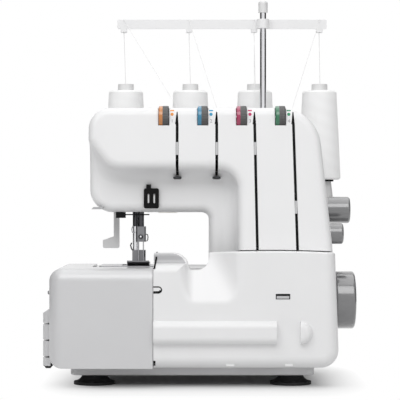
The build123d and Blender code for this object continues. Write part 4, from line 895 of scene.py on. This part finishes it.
@dataclass
class Machine:
    """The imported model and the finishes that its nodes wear."""

    frame: dict[str, Any]
    finishes: dict[str, bpy.types.Material] = field(default_factory=dict)

    def finish(self, kind: Finish) -> bpy.types.Material:
        """A finish's material, made once.

        Args:
            kind: The finish.

        Returns:
            Its material.
        """
        if kind.name not in self.finishes:
            self.finishes[kind.name] = kind.make()
        return self.finishes[kind.name]

    def wear(self, kind: Finish, *nodes: str) -> None:
        """Puts a finish on nodes of the model.

        Args:
            kind: The finish.
            nodes: The nodes' names.
        """
        for name in nodes:
            node = self.frame["nodes"][name]
            node.data.materials.clear()
            node.data.materials.append(self.finish(kind))
            LOG.info("node %s wears %s", name, kind.name)

    def piece(self, name: str, shape: Drawing | bpy.types.Mesh, kind: Finish, body: str,
              slot: str) -> bpy.types.Object:
        """Adds a piece of the scene that rides on a body.

        Args:
            name: The piece's name.
            shape: Its drawing function or its mesh, in place.
            kind: Its finish.
            body: The body it moves with.
            slot: The record's material slot; not used.

        Returns:
            The new object.
        """
        mesh = mesh_from(name, shape) if callable(shape) else shape
        mesh.materials.clear()
        mesh.materials.append(self.finish(kind))
        made = bpy.data.objects.new(name, mesh)
        bpy.context.scene.collection.objects.link(made)
        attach(made, body)
        LOG.info("piece %s rides on %s", name, body)
        return made

    def skin(self, *names: str) -> BVHTree:
        """The surface of nodes, for laying marks on.

        Args:
            names: The nodes' names.

        Returns:
            The surface.
        """
        corners: list[Vector] = []
        faces: list[list[int]] = []
        for name in names:
            node = self.frame["nodes"][name]
            start = len(corners)
            corners += [node.matrix_world @ vertex.co for vertex in node.data.vertices]
            faces += [[start + index for index in face.vertices] for face in node.data.polygons]
        return BVHTree.FromPolygons(corners, faces)


@dataclass
class Casings:
    """The white shells, the covers and the base."""

    machine: Machine
    sight: Box = (72.0, 90.5, 87.0, 96.5)
    sight_edge: Box = (0.3, 0.3, 0.3, 0.3)  # left, bottom, right, top
    # how far the painted shade reaches in from each side: left, bottom, right, top; widest at the top
    sight_rim: Box = (1.2, 1.0, 1.2, 2.4)
    latch: Box = (-50.8, 96.5, -42.0, 104.0)
    # the latch groove's painted shade: its width, its shares below and above the middle, and its inset
    slit: float = 1.4
    slit_shares: Pair = (1.9, 0.9)  # below and above the middle
    slit_inset: float = 0.2
    # where the notch's recess gets its painted shadow
    notch: Box = (-50.9, 23.8, -48.85, 28.9)
    # the hump's grey sheet, partly a grey guard's colour and partly painted shade under the arm
    guard: Box = (-50.9, 126.5, -17.0, 136.4)
    brow: Triple = (-32.0, 122.0, 14.2)  # middle across, middle up, radius
    # heights and extent of the painted shade at the grooves' ends
    grooves: tuple[float, ...] = (29.5, 46.5, 63.5)
    groove: Triple = (-159.4, -157.1, 1.6)  # left, right, height
    grip_foot: Outline = ((-164.0, 21.6), (-161.8, 18.6), (-157.0, 18.6), (-155.0, 21.6))
    grip_depths: Pair = (-94.0, -46.0)
    stud: Point = (-157.0, -70.0, 94.8)
    stud_profile: Outline = ((2.0, -0.6), (2.0, 4.4), (1.4, 5.0))
    screws: Outline = ((-98, 264), (112, 264), (26, 166), (124, 166), (26, 34), (124, 34))
    screw_head: Outline = ((3.4, -0.6), (3.4, 0.5), (2.9, 1.1), (1.6, 1.5), (0.4, 1.6))
    screw_cross: Pair = (0.45, 1.9)  # half an arm's width, its reach
    cross_depths: Pair = (1.0, 1.66)

    def dress(self) -> None:
        """Puts the finishes on the shells."""
        self.machine.wear(WHITE, "front_casing", "rear_casing", "bed_casing", "front_cover", "thread_stand")
        self.machine.wear(SIDE_GREY_AND_SHADE, "side_cover", "side_grip")
        self.machine.wear(BASE_GREY, "base_tray")
        self.machine.wear(RUBBER, "rubber_feet")

    def build(self) -> None:
        """Adds the small forms of the looper cover, the side cover and the back."""
        skin = self.machine.skin("front_cover")
        self.window(skin)
        self.slits(skin)
        self.trim()
        self.fasten()

    def window(self, skin: BVHTree) -> None:
        """Adds the sight window's bar and a dark frame round it, which is painted shade of the window's
        recess, widest under its top edge.

        Args:
            skin: The looper cover's surface.
        """
        inner = inset(self.sight, *self.sight_rim)

        def rim(x: float, z: float) -> bool:
            """Whether a place lies in the painted shade round the window."""
            return not (inner[0] < x < inner[2] and inner[1] < z < inner[3])
        # painted shade: a dark frame laid in the window's recess, where its walls are in shade
        frame = field_on(skin, inset(self.sight, *self.sight_edge), Cells.SIGHT_FRAME, rim)
        self.machine.piece("sight_frame", frame, DARK, "looper_cover", "dark_plastic")
        bar = field_on(skin, inner, Cells.SIGHT_BAR)
        self.machine.piece("sight_bar", bar, DISC, "looper_cover", "pale_plastic")

    def slits(self, skin: BVHTree) -> None:
        """Adds painted shade in the latch's groove and in the notch, and a grey sheet on the hump, partly a
        grey guard and partly painted shade.

        Args:
            skin: The looper cover's surface.
        """
        _, low, right, high = self.latch
        middle, radius = (low + high) / 2, (high - low) / 2

        def ring(x: float, z: float) -> bool:
            """Whether a place lies in the painted shade of the latch's groove.

            Args:
                x: Millimetres across.
                z: Millimetres up.

            Returns:
                True in the slit.
            """
            reach = math.hypot(max(0.0, x - (right - radius)), z - middle)
            thick = self.slit * self.slit_shares[0 if z < middle else 1]
            return radius - thick < reach < radius - self.slit_inset

        def face(x: float, z: float) -> bool:
            """Whether a place lies on the hump's face."""
            return math.hypot(max(0.0, x - self.brow[0]), max(0.0, z - self.brow[1])) < self.brow[2]
        # painted shade: a dark ring laid in the latch's groove
        latch = field_on(skin, self.latch, Cells.LATCH, ring)
        self.machine.piece("latch_slit", latch, DARK, "looper_cover", "dark_plastic")
        # painted shadow: a dark field laid in the notch's recess
        notch = field_on(skin, self.notch, Cells.NOTCH)
        self.machine.piece("notch_slit", notch, DARK, "looper_cover", "dark_plastic")
        # a grey sheet on the hump's face: partly a grey guard, partly painted shade
        guard = field_on(skin, self.guard, Cells.GUARD, face)
        self.machine.piece("hump_guard", guard, GREY_AND_SHADE, "looper_cover", "side_shell")

    def trim(self) -> None:
        """Adds painted shade at the side grip's groove ends, the grip's rubber foot, and the side cover's
        stud.
        """
        grip = self.machine.skin("side_grip")
        left, right, tall = self.groove

        def shades(work: bmesh.types.BMesh) -> None:
            """Adds the painted shade at each groove's end."""
            for low in self.grooves:
                field_on(grip, (left, low, right, low + tall), Cells.GROOVE)(work)
        # painted shade: dark fields at the grooves' ends
        self.machine.piece("grip_shades", shades, DARK, "end_cover", "dark_plastic")
        foot = prism(self.grip_foot, self.grip_depths)
        self.machine.piece("grip_foot", foot, RUBBER, "end_cover", "black_rubber")
        outward = Matrix.Translation(mm(*self.stud)) @ Matrix.Rotation(math.radians(-90), 4, "Y")
        stud = lathe(self.stud_profile, outward, SMALL_SIDES)
        self.machine.piece("side_stud", stud, INK, "end_cover", "knob_grey")

    def fasten(self) -> None:
        """Adds the cross-head screws that hold the rear casing."""
        back = self.machine.skin("rear_casing")
        seats = [laid_on(back, x, z, 0.0, Side.BACK) for x, z in self.screws]
        facing = Matrix.Rotation(math.radians(-90), 4, "X")
        half, arm = self.screw_cross
        cross = ((-arm, -half), (-half, -half), (-half, -arm), (half, -arm), (half, -half), (arm, -half),
                 (arm, half), (half, half), (half, arm), (-half, arm), (-half, half), (-arm, half))

        def heads(work: bmesh.types.BMesh) -> None:
            """Adds each head."""
            for seat in seats:
                lathe(self.screw_head, Matrix.Translation(seat) @ facing, SMALL_SIDES)(work)

        def slots(work: bmesh.types.BMesh) -> None:
            """Adds a dark cross in each head, painted shade in place of the recess.

            Args:
                work: The mesh.
            """
            for x, y, z in (seat / MM for seat in seats):
                outline = [(x + aside, z + up) for aside, up in cross]
                slab(outline, *(y + depth for depth in self.cross_depths))(work)
        self.machine.piece("back_screws", heads, CLAMP_STEEL, "frame", "steel")
        # painted shade: dark crosses stand for the heads' recesses
        self.machine.piece("screw_slots", slots, DARK, "frame", "dark_plastic")


@dataclass
class Tensions:
    """The four tension dials with their slots and printed marks."""

    machine: Machine
    first: float = -41.3
    pitch: float = 40.03
    width: float = 10.4
    split: float = 4.0
    axis: Pair = (-77.5, 276.0)  # along Y, up
    rim: Colour = (0.08, 0.08, 0.08)
    short_slots: tuple[float, ...] = (-27.5, 13.2)
    # where the painted shade lies in the casing's groove below each short slot
    slot_end: Triple = (1.35, 216.6, 220.2)  # half its width, foot, top
    cup_seat: Pair = (-68.03, 214.0)  # along Y, up
    cup: Outline = ((1.3, -1.2), (3.2, -1.7), (4.3, -0.9), (4.5, 0.9), (3.6, 1.3), (1.3, 0.2))
    mark_gap: float = 1.3
    bar: Triple = (4.2, 282.2, 283.6)  # width, foot, top
    dot: Triple = (2.1, 279.0, 1.7)  # middle across, middle up, radius
    dot_field: float = 1.8
    digit: Triple = (0.9, 270.4, 5.0)  # start across, foot, height of the type

    def dress(self) -> None:
        """Puts the finishes on the dials, slots and discs."""
        for index, band in enumerate(Band):
            split = self.first + index * self.pitch - self.width / 2 + self.split
            knob = TensionKnob(f"knob_{band.path}", band.colour, self.rim, split, self.axis)
            self.machine.wear(knob, f"tension_dial_{index + 1}")
        self.machine.wear(DARK, "slot_liners")
        self.machine.wear(DISC, "tension_discs")
        self.machine.wear(STEEL, "tension_brackets")
        self.machine.wear(BAR_STEEL, "thread_eyelets")

    def build(self) -> None:
        """Adds painted shade at the short slots' ends, their cups, and the marks beside each dial."""
        skin = self.machine.skin("front_casing")
        half, low, high = self.slot_end
        for index, x in enumerate(self.short_slots):
            # painted shade: a dark field down the groove below the slot
            end = field_on(skin, (x - half, low, x + half, high), Cells.SLOT_END)
            self.machine.piece(f"slot_end_{index + 1}", end, DARK, "frame", "dark_plastic")
            cup = lathe(self.cup, Matrix.Translation(mm(x, *self.cup_seat)))
            self.machine.piece(f"eyelet_cup_{index + 1}", cup, BAR_STEEL, "frame", "steel")
        for index, band in enumerate(Band):
            self.marks(skin, index, band)

    def marks(self, skin: BVHTree, index: int, band: Band) -> None:
        """Prints a bar, a dot and a plain number beside a dial.

        Args:
            skin: The casing's surface.
            index: The dial's place in the row, from zero.
            band: The dial's colour.
        """
        left = self.first + index * self.pitch + self.width / 2 + self.mark_gap
        wide, low, high = self.bar
        bar = field_on(skin, (left, low, left + wide, high), Cells.MARK_BAR)
        self.machine.piece(f"mark_bar_{index + 1}", bar, band.ink(), "frame", band.slot)
        across, up, radius = left + self.dot[0], self.dot[1], self.dot[2]
        reach = self.dot_field

        def inside(x: float, z: float) -> bool:
            """Whether a place lies in the dot."""
            return math.hypot(x - across, z - up) < radius
        box = (across - reach, up - reach, across + reach, up + reach)
        dot = field_on(skin, box, Cells.MARK_DOT, inside)
        self.machine.piece(f"mark_dot_{index + 1}", dot, band.ink(), "frame", band.slot)
        self.number(skin, index + 1, left)

    def number(self, skin: BVHTree, value: int, left: float) -> None:
        """Prints a plain number on the casing.

        Args:
            skin: The casing's surface.
            value: The number.
            left: The left edge of the dial's marks, in millimetres.
        """
        aside, low, size = self.digit
        curve = bpy.data.curves.new("number", "FONT")
        curve.body = str(value)
        curve.size = size
        writer = bpy.data.objects.new("number_writer", curve)
        bpy.context.scene.collection.objects.link(writer)
        bpy.context.view_layer.update()
        mesh = bpy.data.meshes.new_from_object(writer.evaluated_get(bpy.context.evaluated_depsgraph_get()))
        bpy.data.objects.remove(writer)
        for vertex in mesh.vertices:
            vertex.co = laid_on(skin, left + aside + vertex.co.x, low + vertex.co.y)
        self.machine.piece(f"mark_number_{value}", mesh, INK, "frame", "knob_grey")


@dataclass(frozen=True)
class Hook:
    """A bent wire of the sewing head."""

    name: str
    body: str
    kind: BareMetal
    radius: float
    path: tuple[Point, ...]


@dataclass
class SewingHead:
    """Needles, presser, loopers, knives and feed."""

    machine: Machine
    screw: Point = (-66.0, -55.0, 152.33)
    screw_head: Outline = ((2.5, 0.0), (2.5, 0.8), (2.2, 1.1), (1.5, 1.1), (1.35, 0.5))
    screw_pin: Outline = ((1.2, 0.4), (1.2, 0.9), (0.6, 1.2))
    hooks: tuple[Hook, ...] = (
        Hook("bar_hook", "presser", CHROME, 0.5,
             ((-74, -39, 164), (-75.6, -40, 162), (-76.2, -40, 159), (-75.4, -40, 156.5),
              (-74, -40, 156), (-73.3, -40, 157.5))),
        Hook("clamp_hook", "needle_carriage", BAR_STEEL, 0.55,
             ((-61, -49, 155), (-59.2, -49, 154.6), (-58.6, -49, 152), (-58.9, -49, 149),
              (-60.2, -49, 147.4))),
        Hook("foot_hook", "presser", BAR_STEEL, 0.7,
             ((-74.5, -37, 136.5), (-76.6, -38, 139.6), (-77.4, -38, 143), (-76.2, -38, 145.6))),
        Hook("foot_lever", "presser", BAR_STEEL, 1.2,
             ((-63.2, -41.4, 131.2), (-63.2, -41.4, 137.4))),
    )
    lever: tuple[Pair, Pair] = ((-50.0, 121.6), (-48.2, 133.2))
    lever_radius: float = 0.9
    lever_lift: float = 0.5
    lever_steps: int = 24
    window_slots: tuple[float, ...] = (-57.65, -51.65)
    eye_half: float = 0.8
    eye_heights: Pair = (187.5, 196.5)
    eye_lift: float = 2.7
    eye_depth: float = 2.9
    cutter: Outline = ((-117, 181.2), (-105, 181.2), (-105, 183.6), (-115, 183.6))
    cutter_depths: Pair = (-66.0, -58.0)

    def dress(self) -> None:
        """Puts the finishes on the sewing parts."""
        self.machine.wear(STEEL, "needles", "presser_spring", "upper_knife", "lower_knife", "upper_looper",
                          "lower_looper", "feed_dogs")
        self.machine.wear(BAR_STEEL, "needle_bar")
        self.machine.wear(PRESSER_STEEL, "presser_bar")
        self.machine.wear(CLAMP_STEEL, "needle_clamp", "presser_foot")
        self.machine.wear(PLATE_STEEL, "needle_plate")
        self.machine.wear(PALE, "presser_lifter")
        self.machine.wear(DARK, "thread_guide_window", "wire_guide")
        self.machine.wear(LENS, "lamp")

    def build(self) -> None:
        """Adds the clamp's screw, the hooks, the knife's lever, the thread eyes and the cutter."""
        facing = Matrix.Translation(mm(*self.screw)) @ Matrix.Rotation(math.radians(90), 4, "X")
        head = lathe(self.screw_head, facing)
        self.machine.piece("clamp_screw", head, BAR_STEEL, "needle_carriage", "steel")
        pin = lathe(self.screw_pin, facing)
        self.machine.piece("clamp_pin", pin, CHROME, "needle_carriage", "steel")
        for hook in self.hooks:
            wire = tube([mm(*point) for point in hook.path], hook.radius)
            self.machine.piece(hook.name, wire, hook.kind, hook.body, "steel")
        self.knife_lever()
        self.window_eyes()
        cutter = prism(self.cutter, self.cutter_depths)
        self.machine.piece("thread_cutter", cutter, GREY_AND_SHADE, "frame", "pale_plastic")

    def knife_lever(self) -> None:
        """Adds the dark lever that lies along the hump's left edge."""
        cover = self.machine.skin("front_cover")
        low, high = self.lever
        path = []
        for step in range(self.lever_steps + 1):
            share = step / self.lever_steps
            spot = (a + (b - a) * share for a, b in zip(low, high))
            path.append(laid_on(cover, *spot, self.lever_lift))
        self.machine.piece("knife_lever", tube(path, self.lever_radius), DARK, "looper_cover", "dark_plastic")

    def window_eyes(self) -> None:
        """Adds the two pale thread eyes of the black guide."""
        wall = self.machine.skin("front_casing")
        low, high = self.eye_heights
        for index, x in enumerate(self.window_slots):
            near = laid_on(wall, x, (low + high) / 2, self.eye_lift).y / MM
            left, right = x - self.eye_half, x + self.eye_half
            outline = ((left, low), (right, low), (right, high), (left, high))
            eye = prism(outline, (near, near + self.eye_depth))
            self.machine.piece(f"window_eye_{index + 1}", eye, WHITE, "frame", "pale_plastic")


@dataclass
class Drive:
    """Frame casting, shafts, motor, handwheel and flank dials."""

    machine: Machine
    length: Triple = (6.0, 180.0, 14.3)  # middle along Y, middle up, radius
    feed: Triple = (-30.0, 155.0, 11.0)
    wheel: Triple = (0.0, 83.0, 31.0)
    index_shares: Triple = (0.05, 0.35, 0.8)  # half its width, start, end, by the radius
    tick_turns: tuple[int, ...] = tuple(range(-120, 121, 30))
    tick: Triple = (1.6, 4.2, 0.35)  # start and end off the dial, half its width

    def dress(self) -> None:
        """Puts the finishes on the drive."""
        self.machine.wear(CASTING, "main_frame", "shaft_pulley", "connecting_rod")
        self.machine.wear(SHAFT_STEEL, "main_shaft", "rocker_shaft", "motor", "motor_cradle", "motor_pulley",
                          "cover_hinge_rod")
        self.machine.wear(BRONZE, "shaft_bushes")
        self.machine.wear(BELT, "drive_belt")
        self.machine.wear(KNOB_GREY, "handwheel", "length_dial", "feed_dial")
        self.machine.wear(DARK, "power_inlet", "power_switch", "switch_frame")

    def build(self) -> None:
        """Prints an index line on each turning part and a scale round the two dials."""
        turning = (("length_dial", "stitch_length", self.length), ("feed_dial", "differential", self.feed),
                   ("handwheel", "drive_shaft", self.wheel))
        for node, body, (y, z, radius) in turning:
            half, low, high = (radius * share for share in self.index_shares)
            box = (y - half, z + low, y + half, z + high)
            line = field_on(self.machine.skin(node), box, Cells.INDEX_LINE, side=Side.RIGHT)
            self.machine.piece(f"index_{node}", line, PALE, body, "pale_plastic")
        flank = self.machine.skin("front_casing", "rear_casing")
        for name, dial in (("length", self.length), ("feed", self.feed)):
            self.scale(f"scale_{name}", flank, dial)

    def scale(self, name: str, flank: BVHTree, dial: Triple) -> None:
        """Prints ticks round a dial on the flank.

        Args:
            name: The piece's name.
            flank: The casing's surface.
            dial: The dial's middle and radius in millimetres.
        """
        y, z, radius = dial
        near, far, half = self.tick

        def draw(work: bmesh.types.BMesh) -> None:
            """Adds each tick as a small four-sided field.

            Args:
                work: The mesh.
            """
            for degrees in self.tick_turns:
                sine, cosine = math.sin(math.radians(degrees)), math.cos(math.radians(degrees))
                corners = []
                for reach, aside in ((near, -half), (near, half), (far, half), (far, -half)):
                    out = radius + reach
                    across, up = y + out * sine + aside * cosine, z + out * cosine - aside * sine
                    corners.append(work.verts.new(laid_on(flank, across, up, side=Side.RIGHT)))
                work.faces.new(corners)
        self.machine.piece(name, draw, INK, "frame", "knob_grey")


@dataclass
class ThreadStand:
    """Cones, antenna and the threads between them."""

    machine: Machine
    cones: tuple[float, ...] = (-88.4, -14.9, 58.6, 132.1)
    eyes: tuple[float, ...] = (-89.6, -16.4, 56.8, 130.0)
    slots: tuple[float, ...] = (-27.5, 13.2, 52.0, 91.7)
    cone_y: float = 100.0
    cone_tip: Pair = (91.85, 322.9)  # along Y, up, as the next three
    eye_foot: Pair = (77.05, 379.0)
    eye_mouth: Pair = (66.45, 392.7)
    slot_mouth: Pair = (-74.0, 286.55)
    thread_radius: float = 0.25
    thread_steps: int = 12
    thread_sides: int = 6
    drop: float = 55.0
    least_keep: float = 0.02

    def dress(self) -> None:
        """Puts the finishes on the stand."""
        first, second = self.cones[:2]
        self.machine.wear(CrossWound("cross_wound", (first, self.cone_y), second - first), "thread_windings")
        self.machine.wear(PALE, "cone_holders", "cone_cores", "antenna_cap")
        self.machine.wear(WHITE, "thread_guide_bar")
        self.machine.wear(DARK, "cone_pads")
        self.machine.wear(CHROME, "antenna_rod", "antenna_sleeve")

    def build(self) -> None:
        """Replaces the plain threads by straight tubes between fixed ends."""
        rise = [(mm(cone, *self.cone_tip), mm(eye, *self.eye_foot))
                for cone, eye in zip(self.cones, self.eyes)]
        fall = [(mm(eye, *self.eye_mouth), mm(slot, *self.slot_mouth))
                for eye, slot in zip(self.eyes, self.slots)]
        self.threads("rising_threads", rise, "cone_threads")
        self.threads("falling_threads", fall, "slot_threads")

    def threads(self, name: str, runs: Sequence[tuple[Vector, Vector]], node: str) -> None:
        """Adds a set of threads in place of a node.

        Args:
            name: The piece's name.
            runs: The ends of each thread.
            node: The node that it stands for.
        """
        shares = [step / self.thread_steps for step in range(self.thread_steps + 1)]

        def draw(work: bmesh.types.BMesh) -> None:
            """Adds each thread as a tube.

            Args:
                work: The mesh.
            """
            for start, end in runs:
                path = [start.lerp(end, share) for share in shares]
                tube(path, self.thread_radius, self.thread_sides)(work)
        made = self.machine.piece(name, draw, YARN, "frame", "thread")
        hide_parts(node)
        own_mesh(made)


@dataclass(frozen=True)
class Lamp:
    """A soft flat lamp: its place and size in metres, and its power in watts."""

    name: str
    place: Point
    size: Pair
    power: float


@dataclass
class Studio:
    """The floor, the light and the camera."""

    eye: Point = (-4.0, -1800.0, 190.8)
    lens: float = 150.0
    sensor: float = 36.0
    floor: float = 3.0
    floor_grey: float = 0.75
    floor_roughness: float = 0.6
    foot: Triple = (0.10, 0.05, -0.02)  # half the shaded floor's width and depth, its middle
    fade: float = 8.0
    spread: float = 1.8
    sky_level: float = 0.36
    card_reach: float = 1.2
    card_top: float = 1.1
    card_turns: Pair = (56.0, 145.0)
    card_steps: int = 12
    card_grey: float = 0.02
    card_roughness: float = 0.9
    aim: Point = (0.0, 0.0, 0.16)
    lamps: tuple[Lamp, ...] = (
        Lamp("key", (-0.3, -1.35, 1.5), (2.4, 1.1), 23.0),
        Lamp("fill", (1.3, -1.1, 0.9), (1.4, 1.4), 2.0),
        Lamp("top", (0.1, 0.2, 1.7), (1.6, 1.6), 9.0),
    )

    def build(self) -> None:
        """Adds the camera, the floor, the sky, the cards and the lamps."""
        scene = bpy.context.scene
        scene.view_settings.view_transform = "Standard"
        camera = bpy.data.objects.new("camera", bpy.data.cameras.new("camera"))
        camera.data.lens = self.lens
        camera.data.sensor_width = self.sensor
        camera.location = mm(*self.eye)
        camera.rotation_euler = (math.radians(90), 0, 0)
        scene.collection.objects.link(camera)
        scene.camera = camera
        self.ground()
        self.sky()
        self.card("card_left", -1.0)
        self.card("card_right", 1.0)
        for lamp in self.lamps:
            self.hang(lamp)

    def stage(self, name: str, draw: Drawing, material: bpy.types.Material) -> bpy.types.Object:
        """Adds a thing that isn't part of the machine.

        Args:
            name: Its name.
            draw: Adds its geometry.
            material: Its material.

        Returns:
            The new object.
        """
        mesh = mesh_from(name, draw)
        mesh.materials.append(material)
        made = bpy.data.objects.new(name, mesh)
        bpy.context.scene.collection.objects.link(made)
        return made

    def ground(self) -> None:
        """Adds a pale floor that fades into the white of the backdrop."""
        half = self.floor

        def draw(work: bmesh.types.BMesh) -> None:
            """Adds one wide face."""
            corners = ((-half, -half), (half, -half), (half, half), (-half, half))
            work.faces.new([work.verts.new((x, y, 0)) for x, y in corners])
        sheet = Sheet("floor")
        x, y, _ = sheet.parts()
        aside = (x.math("ABSOLUTE") - self.foot[0]).math("MAXIMUM", 0.0) * self.spread
        along = ((y - self.foot[2]).math("ABSOLUTE") - self.foot[1]).math("MAXIMUM", 0.0)
        reach = (aside * aside + along * along).math("SQRT")
        fade = (reach * self.fade).math("MINIMUM", 1.0)
        glow = sheet.node("ShaderNodeEmission", None, {"Color": WHITE_LIGHT, "Strength": 1.0})
        material = sheet.surface(Base_Color=(*(self.floor_grey,) * 3, 1), Roughness=self.floor_roughness,
                                 Specular_IOR_Level=0.0)
        ends = {0: fade * sheet.seen(), 1: sheet.shaded_face(), 2: glow}
        sheet.feed(sheet.output, {0: sheet.node("ShaderNodeMixShader", None, ends)})
        self.stage("floor", draw, material)

    def card(self, name: str, side: float) -> None:
        """Adds a bent dark card beside the machine, which only polished faces show.

        Args:
            name: The card's name.
            side: One for the right and minus one for the left.
        """
        first, last = self.card_turns

        def draw(work: bmesh.types.BMesh) -> None:
            """Adds the card as upright strips.

            Args:
                work: The mesh.
            """
            rows = []
            for step in range(self.card_steps + 1):
                turn = math.radians(first + (last - first) * step / self.card_steps)
                x, y = side * self.card_reach * math.sin(turn), -self.card_reach * math.cos(turn)
                rows.append([work.verts.new((x, y, z)) for z in (0.0, self.card_top)])
            for near, far in zip(rows, rows[1:]):
                work.faces.new((near[0], far[0], far[1], near[1]))
        grey = (*(self.card_grey,) * 3, 1)
        made = self.stage(name, draw, Sheet(name).surface(Base_Color=grey, Roughness=self.card_roughness))
        for ray in ("camera", "diffuse", "shadow", "transmission"):
            setattr(made, f"visible_{ray}", False)

    def sky(self) -> None:
        """Gives the world an even light, and white where the camera or a polished face sees it."""
        world = bpy.data.worlds.new("sky")
        world.use_nodes = True
        bpy.context.scene.world = world
        nodes = Nodes(world.node_tree)
        strength = nodes.seen() * (1 - self.sky_level) + self.sky_level
        nodes.feed(world.node_tree.nodes["Background"], {"Color": WHITE_LIGHT, "Strength": strength})

    def hang(self, lamp: Lamp) -> None:
        """Adds a lamp that faces the machine.

        Args:
            lamp: The lamp.
        """
        data = bpy.data.lights.new(lamp.name, "AREA")
        data.shape = "RECTANGLE"
        data.size, data.size_y = lamp.size
        data.energy = lamp.power
        made = bpy.data.objects.new(lamp.name, data)
        made.location = lamp.place
        towards = Vector(self.aim) - Vector(lamp.place)
        made.rotation_euler = towards.to_track_quat("-Z", "Y").to_euler()
        bpy.context.scene.collection.objects.link(made)


def main() -> None:
    """Builds and dresses each sub-assembly in turn."""
    logging.basicConfig(level=logging.INFO)
    for item in list(bpy.data.objects):
        bpy.data.objects.remove(item)
    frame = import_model()
    Studio().build()
    machine = Machine(frame)
    for assembly in (Casings, Tensions, SewingHead, Drive, ThreadStand):
        part = assembly(machine)
        part.dress()
        part.build()


if __name__ == "__main__":
    main()
